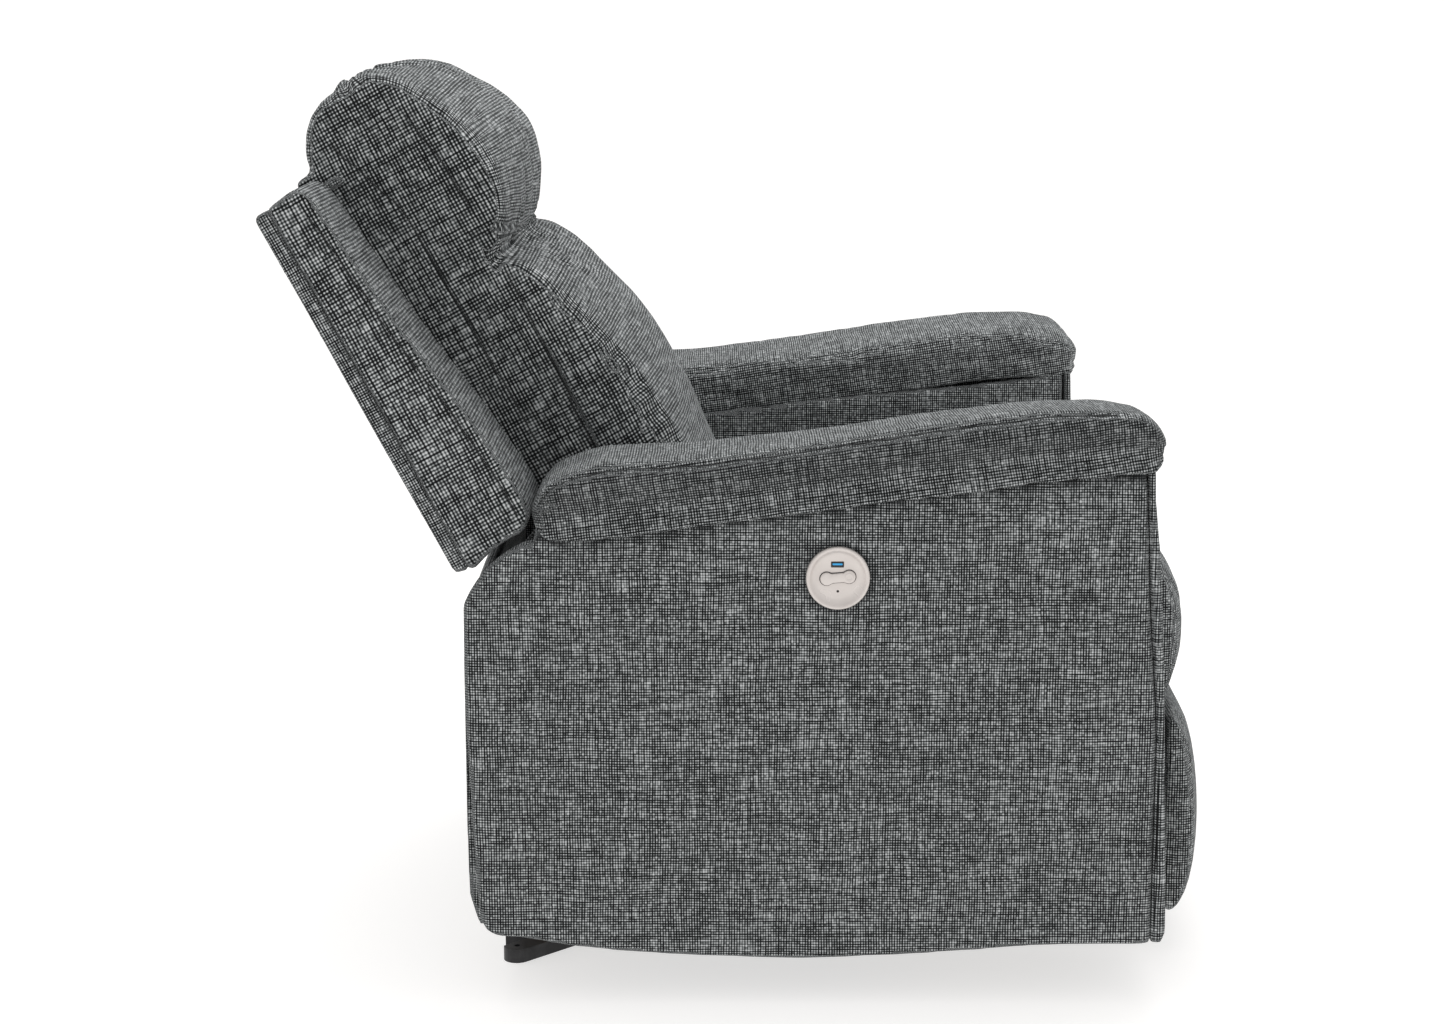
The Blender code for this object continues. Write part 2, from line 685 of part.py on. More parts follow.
def seat_frame(parent):
    """A rectangle of steel tube with its corners rounded."""
    half, tube = SEAT_FRAME_HALF, SEAT_TUBE
    (y_low, y_high), (z_low, z_high) = SEAT_FRAME_Y, SEAT_FRAME_Z
    frame = box("seat_frame", (-half, y_low, z_low), (half, y_high, z_high), steel(), parent)
    hole = box("cut_seat_frame", (-half + tube, y_low + tube, z_low - 0.01),
               (half - tube, y_high - tube, z_high + 0.01), steel())
    combine(frame, hole, "DIFFERENCE")
    return bevel(frame, 0.003)


def zigzag(start, end, across, half_width, waves):
    """Points of a sinuous spring between two points, swinging along the unit vector across."""
    steps = waves * 6
    points = []
    for i in range(steps + 1):
        t = i / steps
        swing = half_width * math.sin(2 * math.pi * waves * t)
        points.append(tuple(start.lerp(end, t) + across * swing))
    return points


def seat_spring(number, x, parent):
    height = SEAT_FRAME_Z[1] + GAP + 0.0024
    start = Vector((x, SEAT_FRAME_Y[0] + 0.008, height))
    end = Vector((x, SEAT_FRAME_Y[1] - 0.008, height))
    points = zigzag(start, end, Vector((1, 0, 0)), 0.022, 7)
    return wire(f"seat_spring_{number}", points, 0.0019, zinc(), parent)


SEAT_OUTLINE = (
    (0.088, 0.345), (0.093, 0.395), (0.080, 0.438), (0.030, 0.452), (-0.100, 0.466), (-0.250, 0.480),
    (-0.370, 0.487), (-0.440, 0.478), (-0.474, 0.448), (-0.487, 0.410), (-0.489, 0.365), (-0.485, 0.320),
    (-0.470, 0.297), (-0.447, 0.296), (-0.428, 0.312), (-0.410, 0.340), (-0.300, 0.342), (-0.100, 0.342),
)


def seat_cushion(parent):
    return cushion("seat_cushion", smooth_loop(SEAT_OUTLINE, 2), CUSHION_HALF, parent,
                   rounding=0.020, crown=0.014, heading=(-0.7, 0.7))


def build_seat(parent):
    seat_frame(parent)
    for number, x in enumerate(SEAT_SPRING_X, 1):
        seat_spring(number, x, parent)
    seat_cushion(parent)


# --- back --------------------------------------------------------------------------------------------------

def slanted_box(name, x_range, along, forward, look, parent=None):
    corners = [(along[0], forward[0]), (along[1], forward[0]), (along[1], forward[1]), (along[0], forward[1])]
    return side_prism(name, [back_point(*corner) for corner in corners], x_range, look, parent)


def back_frame(parent):
    """A rectangle of steel tube in the back's plane, with a cross tube near its middle."""
    half, tube = FRAME_HALF, FRAME_TUBE
    frame = slanted_box("back_frame", (-half, half), FRAME_ALONG, FRAME_FORWARD, steel(), parent)
    clear = (FRAME_FORWARD[0] - 0.01, FRAME_FORWARD[1] + 0.01)
    spans = ((FRAME_ALONG[0] + tube, 0.330), (0.330 + tube, FRAME_ALONG[1] - tube))
    for number, span in enumerate(spans):
        hole = slanted_box(f"cut_back_frame_{number}", (-half + tube, half - tube), span, clear, steel())
        combine(frame, hole, "DIFFERENCE")
    return frame


def back_spring(number, along, parent):
    """A sinuous spring across the frame, just in front of it."""
    y, z = back_point(along, FRAME_FORWARD[1] + GAP + 0.0024)
    start, end = Vector((-FRAME_HALF + 0.008, y, z)), Vector((FRAME_HALF - 0.008, y, z))
    across = Vector((0, math.sin(BACK_LEAN), math.cos(BACK_LEAN)))
    return wire(f"back_spring_{number}", zigzag(start, end, across, 0.020, 7), 0.0019, zinc(), parent)


def back_bracket(label, side, parent):
    """The hinge bracket, from the recline pivot up the frame's post, with its pivot pin."""
    low, high = FRAME_FORWARD[0], FRAME_FORWARD[1]
    middle = (low + high) / 2
    outline = (arc((0, 0), 0.018, 100, 280, 8) + [(0.050, low)]
               + arc((0.190, middle), (high - low) / 2, -90, 90, 6) + [(0.050, high)])
    plane = (FRAME_HALF + GAP, FRAME_HALF + GAP + 0.004)
    bracket = side_prism(f"back_bracket_{label}", [back_point(*p) for p in outline], mirrored(plane, side),
                         steel(), parent)
    return rivet(bracket, RECLINE_PIVOT, PIVOT_PIN, mirrored((plane[1] - 0.001, PIN_END), side),
                 mirrored(PIN_HEAD, side))


def back_outer_panel(parent):
    """The outside back, full width, with a flange curled forwards under the frame."""
    along_low = math.sqrt(BACK_SWEEP ** 2 - PANEL_FORWARD[1] ** 2)
    outline = [(along_low + 0.008, PANEL_FORWARD[0]), (BACK_TOP - 0.004, PANEL_FORWARD[0]),
               (BACK_TOP, PANEL_FORWARD[0] + 0.004), (BACK_TOP, PANEL_FORWARD[1]),
               (along_low, PANEL_FORWARD[1])]
    panel = side_prism("back_outer_panel", [back_point(*p) for p in outline], (-WING_OUTER, WING_OUTER),
                       fabric(), parent)
    curl = (arc(RECLINE_PIVOT, BACK_SWEEP, 34.5, 50, 5) + arc(RECLINE_PIVOT, BACK_SWEEP + 0.008, 50, 34.5, 5))
    reach = WING_INNER - 0.001
    combine(panel, side_prism("add_curl", curl, (-reach, reach), fabric()), "UNION")
    return combine(panel, slanted_box("add_top", (-reach, reach), (BACK_TOP - 0.012, BACK_TOP - 0.002),
                                      (PANEL_FORWARD[1] - 0.005, 0.004), fabric()), "UNION")


def back_wing(label, side, parent):
    """The padded side bolster, whose lower edge is an arc about the recline pivot."""
    rear = PANEL_FORWARD[1] + GAP
    low_angle = 90 - math.degrees(BACK_LEAN) - math.degrees(math.asin(-rear / BACK_SWEEP))
    lower = arc(RECLINE_PIVOT, BACK_SWEEP, low_angle, 66, 6)
    front = [(0.150, 0.0215), (0.162, 0.0280), (0.176, 0.0295), (0.270, 0.0220), (0.393, 0.0035),
             (0.520, -0.0085), (0.555, -0.0120), (0.568, -0.0160), (0.576, -0.0240), (BACK_TOP, rear)]
    outline = lower + [back_point(*p) for p in front]
    reach = mirrored((WING_INNER, WING_OUTER), side)
    wing = side_prism(f"back_wing_{label}", outline, reach, fabric(), parent)
    return bevel(wing, 0.004, 2)


# Side outlines of the two back cushions, along and forward of the pivot, at the middle of their width
LUMBAR_OUTLINE = (
    (-0.008, 0.150), (-0.006, 0.186), (0.030, 0.198), (0.100, 0.204), (0.190, 0.204), (0.270, 0.200),
    (0.340, 0.185), (0.380, 0.166), (0.402, 0.140), (0.404, 0.090), (0.396, 0.045), (0.250, 0.041),
    (0.100, 0.041), (0.020, 0.041), (0.004, 0.060), (-0.004, 0.105),
)
PILLOW_OUTLINE = (
    (0.412, 0.090), (0.416, 0.140), (0.432, 0.168), (0.465, 0.187), (0.505, 0.192), (0.550, 0.186),
    (0.597, 0.163), (0.636, 0.126), (0.655, 0.086), (0.657, 0.043), (0.641, 0.002), (0.612, -0.021),
    (0.587, -0.025), (0.583, 0.010), (0.572, 0.040), (0.500, 0.041), (0.424, 0.048),
)


def back_cushion(name, outline, parent):
    loop = smooth_loop([back_point(*p) for p in outline], 2)
    heading = (-math.cos(BACK_LEAN), math.sin(BACK_LEAN))
    return cushion(name, loop, CUSHION_HALF, parent, rounding=0.026, crown=0.010, heading=heading)


def build_back(parent):
    back_frame(parent)
    for number, along in enumerate((0.20, 0.44), 1):
        back_spring(number, along, parent)
    for label, side in SIDES:
        back_bracket(label, side, parent)
        back_wing(label, side, parent)
    back_outer_panel(parent)
    back_cushion("lumbar_cushion", LUMBAR_OUTLINE, parent)
    back_cushion("head_pillow", PILLOW_OUTLINE, parent)


# --- footrest ----------------------------------------------------------------------------------------------

def drive_link(label, side, parent):
    link = side_prism(f"drive_link_{label}", bar_outline(DRIVE_PIVOT, ELBOW, LINK_HALF),
                      mirrored(DRIVE_PLANE, side), zinc(), parent)
    drill(link, ELBOW, LINK_BORE, mirrored((DRIVE_PLANE[0] - 0.003, DRIVE_PLANE[1] + 0.003), side))
    return rivet(link, DRIVE_PIVOT, PIVOT_PIN, mirrored((DRIVE_PLANE[1] - 0.001, PIN_END), side),
                 mirrored(PIN_HEAD, side))


def torque_tube(parent):
    """The tube that joins both drive links, with the crank that the push rod turns."""
    reach = DRIVE_PLANE[0] - GAP
    tube = drum("torque_tube", DRIVE_PIVOT, TORQUE_RADIUS, (-reach, reach), steel(), parent)
    crank = side_prism("add_crank", bar_outline(DRIVE_PIVOT, crank_end(), 0.009), (0.0070, 0.0120), steel())
    return combine(tube, crank, "UNION")


def front_link(label, side, parent):
    """The long link, with a lug beside its lower end for the drive link's pivot."""
    plane = mirrored(FRONT_PLANE, side)
    link = side_prism(f"front_link_{label}", bar_outline(IDLER_END, WRIST, LINK_HALF), plane, zinc(), parent)
    lug = side_prism(f"add_lug_{label}", bar_outline(IDLER_END, ELBOW, LINK_HALF - 0.001), plane, zinc())
    combine(link, lug, "UNION")
    rivet(link, ELBOW, LINK_PIN, mirrored((DRIVE_PLANE[0] - 0.0015, FRONT_PLANE[0] + 0.001), side))
    pin_x = mirrored((FRONT_PLANE[1] - 0.001, IDLER_PLANE[1] + 0.0015), side)
    wrist_pin = drum(f"pin_wrist_{label}", WRIST, LINK_PIN, pin_x, zinc())
    return combine(link, wrist_pin, "UNION")


def idler_link(label, side, parent):
    """The link that keeps the front link in step; its lower pivot is left open."""
    link = side_prism(f"idler_link_{label}", bar_outline(IDLER_PIVOT, IDLER_END, LINK_HALF),
                      mirrored(IDLER_PLANE, side), zinc(), parent)
    return rivet(link, IDLER_PIVOT, PIVOT_PIN, mirrored((IDLER_PLANE[1] - 0.001, PIN_END), side),
                 mirrored(PIN_HEAD, side))


def filler_pad(parent):
    """The small pad on the front links that fills the space between seat and footrest."""
    run = Vector(WRIST) - Vector(IDLER_END)
    run.normalize()
    across = Vector((-run.y, run.x)) * -1
    start = Vector(IDLER_END)

    def strip(name, along, off, reach):
        sides = ((along[0], off[0]), (along[1], off[0]), (along[1], off[1]), (along[0], off[1]))
        corners = [tuple(start + run * s + across * o) for s, o in sides]
        return side_prism(name, corners, (-reach, reach), fabric(), parent)

    pad = bevel(strip("filler_pad", (0.040, 0.112), (0.008, 0.030), DRIVE_PLANE[0] - 0.002), 0.005, 2)
    return combine(pad, strip("add_tab", (0.085, 0.108), (0.012, 0.016), FRONT_PLANE[0] - GAP), "UNION")


def footrest_bracket(label, side, parent):
    """An angle on the back of the footrest board, with the hole for the front link's pin."""
    plane = mirrored(IDLER_PLANE, side)
    outline = [(-0.4545, 0.190), (-0.4450, 0.198)] + arc(WRIST, 0.011, -60, 90, 6) + [(-0.4545, 0.240)]
    bracket = side_prism(f"footrest_bracket_{label}", outline, plane, steel(), parent)
    flange_x = mirrored((IDLER_PLANE[0], 0.2690), side)
    flange = box(f"add_bracket_flange_{label}", (flange_x[0], -0.4545, 0.182),
                 (flange_x[1], -0.4515, 0.250), steel())
    combine(bracket, flange, "UNION")
    return drill(bracket, WRIST, LINK_BORE, mirrored((IDLER_PLANE[0] - 0.004, IDLER_PLANE[1] + 0.004), side))


def footrest_board(parent):
    board = box("footrest_board", (-FOOTREST_HALF, -0.4670, 0.050), (FOOTREST_HALF, -0.4550, 0.280),
                timber(), parent)
    return bevel(board, 0.002)


FOOTREST_OUTLINE = (
    (-0.4675, 0.060), (-0.4675, 0.120), (-0.4675, 0.200), (-0.4675, 0.268), (-0.474, 0.286), (-0.488, 0.277),
    (-0.502, 0.250), (-0.512, 0.205), (-0.515, 0.150), (-0.512, 0.100), (-0.502, 0.062), (-0.488, 0.045),
    (-0.474, 0.044),
)


def footrest_pad(parent):
    return cushion("footrest_pad", smooth_loop(FOOTREST_OUTLINE, 2), FOOTREST_HALF + 0.003, parent,
                   rounding=0.009, crown=0.014, heading=(-1.0, 0.0))


def build_footrest(chassis):
    drive = joint_empty("joint_footrest_extension", DRIVE_PIVOT, chassis)
    idler = joint_empty("joint_idler_link", IDLER_PIVOT, chassis)
    elbow = joint_empty("joint_footrest_elbow", ELBOW, drive)
    wrist = joint_empty("joint_footrest_wrist", WRIST, elbow)
    torque_tube(drive)
    for label, side in SIDES:
        drive_link(label, side, drive)
        front_link(label, side, elbow)
        idler_link(label, side, idler)
        footrest_bracket(label, side, wrist)
    filler_pad(elbow)
    footrest_board(wrist)
    footrest_pad(wrist)


def build_power(chassis):
    control_bezel(chassis)
    control_cup(chassis)
    usb_port(chassis)
    rocker_switch(joint_empty("joint_rocker_switch", (CONTROL_Y, CONTROL_Z), chassis, x=SWITCH_PIVOT_X))
    actuator_rail(chassis)
    actuator_motor(chassis)
    carriage = joint_empty("joint_actuator_carriage", (CARRIAGE_Y, CARRIAGE_PIVOT_Z), chassis)
    actuator_carriage(carriage)
    push_rod(joint_empty("joint_push_rod", (CARRIAGE_Y, CARRIAGE_PIVOT_Z), carriage))
    power_inlet(chassis)


def build_chair():
    clear_scene()
    build_base()
    chassis = joint_empty("joint_rocking", ROCK_AXIS)
    build_chassis(chassis)
    build_power(chassis)
    build_seat(joint_empty("joint_seat_glide", (0.0, SEAT_FRAME_Z[0]), chassis))
    build_back(joint_empty("joint_back_recline", RECLINE_PIVOT, chassis))
    build_footrest(chassis)


build_chair()
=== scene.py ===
"""Looks of the power rocker recliner: its upholstery, trim and finishes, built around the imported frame."""

import json
import math

import bmesh
import bpy
import numpy as np
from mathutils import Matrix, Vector, kdtree


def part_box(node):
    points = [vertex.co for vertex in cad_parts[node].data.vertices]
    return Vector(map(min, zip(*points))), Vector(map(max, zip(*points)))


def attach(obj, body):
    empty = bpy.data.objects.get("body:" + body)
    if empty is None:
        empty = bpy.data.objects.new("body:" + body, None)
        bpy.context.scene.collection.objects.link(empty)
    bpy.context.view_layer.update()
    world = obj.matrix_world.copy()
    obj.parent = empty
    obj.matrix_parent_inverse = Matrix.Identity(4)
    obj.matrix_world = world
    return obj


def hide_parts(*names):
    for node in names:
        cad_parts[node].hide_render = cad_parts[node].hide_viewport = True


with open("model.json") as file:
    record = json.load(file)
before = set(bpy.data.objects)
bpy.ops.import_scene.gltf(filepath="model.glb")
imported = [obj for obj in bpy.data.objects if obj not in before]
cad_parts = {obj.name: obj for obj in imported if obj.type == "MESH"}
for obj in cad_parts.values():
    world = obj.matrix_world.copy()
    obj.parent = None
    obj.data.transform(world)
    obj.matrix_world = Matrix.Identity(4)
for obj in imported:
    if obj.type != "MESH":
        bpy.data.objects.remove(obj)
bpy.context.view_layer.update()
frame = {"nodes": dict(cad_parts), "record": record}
NODES = frame["nodes"]

# --- driving dimensions, in metres ---

BACK_LEAN = math.radians(28.1)  # the back's lean from upright
BACK_FOOT = (0.200, 0.400)  # the recline pivot, where the back's own axes start
CUSHION_SIDE = 0.277  # from the chair's middle to the back cushion's side
SEAT_SIDE = 0.2835  # from the chair's middle to the seat cushion's and footrest pad's sides
BOARD_FACE = -0.4673  # where the footrest pad lies on its board
REAR_FACE = 0.322  # how far to the rear the side panels reach
CUSHION_VOXEL = 0.006  # the grid that cushion covers are built on
PANEL_VOXEL = 0.0045  # the grid that panel covers are built on
PANEL_WAVE = 0.22  # the length of the slow waves in a panel's fabric
THREAD_PITCH = 0.0029  # from one yarn of the chenille to the next
BACK_WEAVE = 0.74  # yarns on the back, where the fabric is drawn tight, for each one elsewhere
CORD_RADIUS, CORD_SIDES = 0.0007, 6  # of the thread in the seams

# --- studio ---

CAMERA_PLACE = (-3.2765, 0.042, 1.107)
CAMERA_TURN = (math.radians(79), 0, math.radians(-90))
LENS_MM, SENSOR_MM = 67.27, 36
VIEW_REACH = 2000
SKY_STRENGTH = 0.80
FLOOR_REACH = 600.0  # far enough for the floor to fill the view
FLOOR_TONE, FLOOR_GLOW = (0.52, 0.51, 0.50, 1), 0.65
SOFTBOX_PLACE, SOFTBOX_TARGET, SOFTBOX_WIDE, SOFTBOX_WATTS = (0.9, 0.0, 3.4), (0, 0, 0.4), 3.6, 72


def new_piece(name, data):
    piece = bpy.data.objects.new(name, data)
    bpy.context.scene.collection.objects.link(piece)
    return piece


def add_camera():
    data = bpy.data.cameras.new("camera")
    data.sensor_width = SENSOR_MM
    data.lens = LENS_MM
    data.clip_end = VIEW_REACH
    camera = new_piece("camera", data)
    camera.location = CAMERA_PLACE
    camera.rotation_euler = CAMERA_TURN
    bpy.context.scene.camera = camera


def add_softbox():
    data = bpy.data.lights.new("top_softbox", "AREA")
    data.shape = "DISK"
    data.size = SOFTBOX_WIDE
    data.energy = SOFTBOX_WATTS
    light = new_piece("top_softbox", data)
    light.location = SOFTBOX_PLACE
    way = Vector(SOFTBOX_TARGET) - Vector(SOFTBOX_PLACE)
    light.rotation_euler = way.to_track_quat("-Z", "Y").to_euler()


def add_world():
    world = bpy.data.worlds.new("studio")
    world.use_nodes = True
    background = world.node_tree.nodes["Background"]
    background.inputs["Color"].default_value = (1.0, 1.0, 1.0, 1)
    background.inputs["Strength"].default_value = SKY_STRENGTH
    bpy.context.scene.world = world


def add_floor():
    data = bpy.data.meshes.new("floor")
    corners = [(x * FLOOR_REACH, y * FLOOR_REACH, 0) for x, y in ((-1, -1), (1, -1), (1, 1), (-1, 1))]
    data.from_pydata(corners, [], [(0, 1, 2, 3)])
    look = Graph("studio_floor").finish(Base_Color=FLOOR_TONE, Emission_Color=(1, 0.995, 0.99, 1),
                                        Emission_Strength=FLOOR_GLOW, Roughness=0.9, Specular_IOR_Level=0.1)
    data.materials.append(look)
    new_piece("floor", data)


def build_stage():
    bpy.context.scene.view_settings.view_transform = "Standard"
    add_camera()
    add_world()
    add_floor()
    add_softbox()


# --- shader nodes ---


class Graph:
    """A material's node tree, with short calls for the nodes that the looks below use."""

    def __init__(self, name):
        self.material = bpy.data.materials.new(name)
        self.material.use_nodes = True
        self.tree = self.material.node_tree
        self.shader = self.tree.nodes["Principled BSDF"]

    def feed(self, socket, value):
        if isinstance(value, bpy.types.NodeSocket):
            self.tree.links.new(value, socket)
        else:
            socket.default_value = value

    def node(self, kind, values=(), **settings):
        """A node's outputs, with its settings made and its inputs fed by number or name."""
        made = self.tree.nodes.new(kind)
        for key, value in settings.items():
            setattr(made, key, value)
        for socket, value in dict(values).items():
            self.feed(made.inputs[socket], value)
        return made.outputs

    def place(self):
        return self.node("ShaderNodeTexCoord")["Object"]

    def attribute(self, name):
        return self.node("ShaderNodeAttribute", attribute_name=name)

    def math(self, operation, *values):
        return self.node("ShaderNodeMath", enumerate(values), operation=operation)[0]

    def split(self, vector):
        return self.node("ShaderNodeSeparateXYZ", {0: vector})

    def join(self, x, y, z=0.0):
        return self.node("ShaderNodeCombineXYZ", {0: x, 1: y, 2: z})[0]

    def noise(self, vector, scale, detail=2.0, roughness=0.5):
        values = {"Vector": vector, "Scale": scale, "Detail": detail, "Roughness": roughness}
        return self.node("ShaderNodeTexNoise", values)[0]

    def speckle(self, vector):
        return self.node("ShaderNodeTexWhiteNoise", {"Vector": vector}, noise_dimensions="2D")[0]

    def mix(self, share, first, second):
        return self.node("ShaderNodeMix", {0: share, 6: first, 7: second}, data_type="RGBA")[2]

    def blend(self, share, first, second):
        return self.node("ShaderNodeMix", {0: share, 2: first, 3: second}, data_type="FLOAT")[0]

    def ramp(self, value, stops):
        made = self.tree.nodes.new("ShaderNodeValToRGB")
        band = made.color_ramp
        while len(band.elements) < len(stops):
            band.elements.new(0.5)
        for element, (position, colour) in zip(band.elements, stops):
            element.position = position
            element.color = (*colour, 1)
        self.feed(made.inputs[0], value)
        return made.outputs[0]

    def bump(self, height, strength, distance):
        values = {"Height": height, "Strength": strength, "Distance": distance}
        self.feed(self.shader.inputs["Normal"], self.node("ShaderNodeBump", values)[0])

    def finish(self, **values):
        for key, value in values.items():
            self.shader.inputs[key.replace("_", " ")].default_value = value
        return self.material


# --- looks ---


TONE_RUN, GAP_RUN = 0.11, 0.07  # how fast a yarn's tone, and the gap beside it, change along its length
FABRIC_STOPS = (0.10, 0.36, 0.62, 1.0)
FABRIC_SHADES = ((0.0050, 0.0055, 0.0058), (0.036, 0.0395, 0.0405), (0.135, 0.144, 0.145),
                 (0.56, 0.575, 0.58))
PAINTED_SHADE_TONE = (0.010, 0.011, 0.012)  # painted shade: the darkest tone, painted at the bottom of a seam, along the tuck lines, round the control and on the arm pads' sides
SHALLOWEST_GAP = 0.25


def yarn_gaps(g, across, slub, swing, depth):
    """The dark gaps between yarns, one a pitch, deeper or shallower as the slubs come and go."""
    gap = g.math("POWER", g.math("COSINE", g.math("MULTIPLY", across, math.pi)), 2.0)
    deep = g.math("MULTIPLY_ADD", g.math("SUBTRACT", slub, 0.5), swing, depth)
    return g.math("MULTIPLY", gap, g.math("MAXIMUM", deep, SHALLOWEST_GAP))


def chenille(name, tone):
    """Slubby chenille in plain weave, on the thread coordinates that the pieces carry."""
    g = Graph(name)
    threads = g.attribute("threads")[1]
    u, v, _ = g.split(threads)
    sway = g.math("MULTIPLY", g.math("SUBTRACT", g.noise(threads, 12.0, 1.0), 0.5), 1.3)
    a = g.math("ADD", g.math("DIVIDE", u, THREAD_PITCH), sway)
    b = g.math("ADD", g.math("DIVIDE", v, THREAD_PITCH), sway)
    i, j = g.math("FLOOR", a), g.math("FLOOR", b)
    # each yarn has its own tone, with slubs that come and go along it
    warp = g.noise(g.join(g.math("MULTIPLY", i, 7.31), g.math("MULTIPLY", b, TONE_RUN)), 1.0, 1.0)
    weft = g.noise(g.join(g.math("MULTIPLY", a, TONE_RUN), g.math("MULTIPLY", j, 5.77), 9.1), 1.0, 1.0)
    over = g.math("MODULO", g.math("ABSOLUTE", g.math("ADD", i, j)), 2.0)
    fleck = g.math("SUBTRACT", g.speckle(g.join(i, j)), 0.5)
    thread = g.blend(over, weft, warp)
    # the gaps between the yarns are dark, and darker along some than along others
    row_a = g.math("MULTIPLY", g.math("ROUND", a), 3.37)
    row_b = g.math("MULTIPLY", g.math("ROUND", b), 4.13)
    slub_a = g.noise(g.join(row_a, g.math("MULTIPLY", b, GAP_RUN), 4.0), 1.0, 1.0)
    slub_b = g.noise(g.join(g.math("MULTIPLY", a, GAP_RUN), row_b, 7.0), 1.0, 1.0)
    gaps = g.math("ADD", yarn_gaps(g, a, slub_a, 1.7, 0.62), yarn_gaps(g, b, slub_b, 1.6, 0.54))
    value = g.math("MULTIPLY_ADD", g.math("SUBTRACT", thread, 0.5), 0.40, 0.99)
    value = g.math("ADD", value, g.math("MULTIPLY", fleck, 0.30))
    value = g.math("SUBTRACT", value, gaps)
    patches = g.noise(threads, 7.0, 3.0, 0.6)
    value = g.math("ADD", value, g.math("MULTIPLY", g.math("SUBTRACT", patches, 0.5), 0.03))
    shades = [tuple(c * tone for c in shade) for shade in FABRIC_SHADES]
    colour = g.ramp(value, list(zip(FABRIC_STOPS, shades)))
    # painted shade: each point's share darkens the cover towards the painted shade tone
    colour = g.mix(g.attribute("painted_shade")[2], colour, (*(c * tone for c in PAINTED_SHADE_TONE), 1))
    g.feed(g.shader.inputs["Base Color"], colour)
    g.bump(g.math("SUBTRACT", thread, gaps), 0.5, 0.0006)
    return g.finish(Sheen_Weight=0.12, Sheen_Roughness=0.40, Sheen_Tint=(0.82, 0.85, 0.86, 1),
                    Specular_IOR_Level=0.12, Roughness=0.9)


def coated_steel():
    """Satin black powder coat: a fine orange peel and paler patches here and there."""
    g = Graph("powder_coated_steel")
    place = g.place()
    wear = g.noise(place, 45.0, 4.0, 0.65)
    shades = [(0.40, (0.012, 0.012, 0.013)), (0.75, (0.045, 0.045, 0.047))]
    g.feed(g.shader.inputs["Base Color"], g.ramp(wear, shades))
    g.feed(g.shader.inputs["Roughness"], g.blend(wear, 0.30, 0.55))
    g.bump(g.noise(place, 900.0, 2.0), 0.25, 0.0003)
    return g.finish(Metallic=0.3, Specular_IOR_Level=0.5)


def zinc_steel(name="zinc_plated_steel", colour=(0.47, 0.47, 0.46)):
    g = Graph(name)
    place = g.place()
    spangle = g.noise(place, 120.0, 3.0, 0.7)
    darker = tuple(c * 0.6 for c in colour)
    g.feed(g.shader.inputs["Base Color"], g.ramp(spangle, [(0.3, darker), (0.7, colour)]))
    g.feed(g.shader.inputs["Roughness"], g.blend(spangle, 0.28, 0.50))
    g.bump(g.noise(place, 1500.0, 1.0), 0.15, 0.0002)
    return g.finish(Metallic=0.95)


def plywood():
    """Raw timber: long grain across the chair, with darker streaks and fine pores."""
    g = Graph("raw_timber")
    x, y, z = g.split(g.place())
    stretched = g.join(g.math("MULTIPLY", x, 3.0), g.math("MULTIPLY", y, 60.0), g.math("MULTIPLY", z, 60.0))
    grain = g.noise(stretched, 1.0, 5.0, 0.6)
    pores = g.noise(stretched, 9.0, 2.0)
    tone = g.math("ADD", g.math("MULTIPLY", grain, 0.8), g.math("MULTIPLY", pores, 0.2))
    shades = [(0.30, (0.30, 0.17, 0.075)), (0.55, (0.52, 0.35, 0.18)), (0.80, (0.66, 0.50, 0.30))]
    g.feed(g.shader.inputs["Base Color"], g.ramp(tone, shades))
    g.bump(tone, 0.3, 0.0006)
    return g.finish(Roughness=0.72)


def satin_plastic(name, light, dark, roughness, metallic=0.0):
    """Moulded plastic with a fine spark-eroded grain."""
    g = Graph(name)
    place = g.place()
    cloud = g.noise(place, 25.0, 2.0)
    g.feed(g.shader.inputs["Base Color"], g.ramp(cloud, [(0.35, dark), (0.65, light)]))
    g.feed(g.shader.inputs["Roughness"], g.blend(cloud, roughness - 0.05, roughness + 0.05))
    g.bump(g.noise(place, 2500.0, 1.0), 0.12, 0.0001)
    return g.finish(Metallic=metallic, Specular_IOR_Level=0.5)


FABRIC = chenille("charcoal_chenille", 1.08)
# painted shade: the seam cords' dark tone is partly the thread's own colour and partly the shade in the
# seams' grooves
SEAM_THREAD_AND_SHADE = chenille("seam_thread_and_shade", 0.25)
STEEL = coated_steel()
ZINC = zinc_steel()
RAIL_STEEL = zinc_steel("rolled_steel", (0.33, 0.33, 0.34))
TIMBER = plywood()
CHAMPAGNE = satin_plastic("champagne_plastic", (0.70, 0.65, 0.62), (0.64, 0.59, 0.56), 0.26, 0.25)
BLACK = satin_plastic("black_plastic", (0.020, 0.020, 0.021), (0.012, 0.012, 0.013), 0.45)
BLUE = satin_plastic("blue_plastic", (0.04, 0.44, 0.86), (0.03, 0.38, 0.78), 0.35)

# --- mesh tools ---


def vectors(items, key):
    found = np.empty(len(items) * 3)
    items.foreach_get(key, found)
    return found.reshape(-1, 3)


def points_of(mesh):
    return vectors(mesh.vertices, "co")


def normals_of(mesh):
    return vectors(mesh.vertex_normals, "vector")


def set_points(mesh, points):
    mesh.vertices.foreach_set("co", np.ascontiguousarray(points, np.float64).ravel())
    mesh.update()


def solid_piece(name, points, faces):
    """A new piece from a closed shape's points and faces, facing out."""
    mesh = bpy.data.meshes.new(name)
    mesh.from_pydata(points, [], faces)
    shape = bmesh.new()
    shape.from_mesh(mesh)
    bmesh.ops.recalc_face_normals(shape, faces=shape.faces)
    shape.to_mesh(mesh)
    shape.free()
    return new_piece(name, mesh)


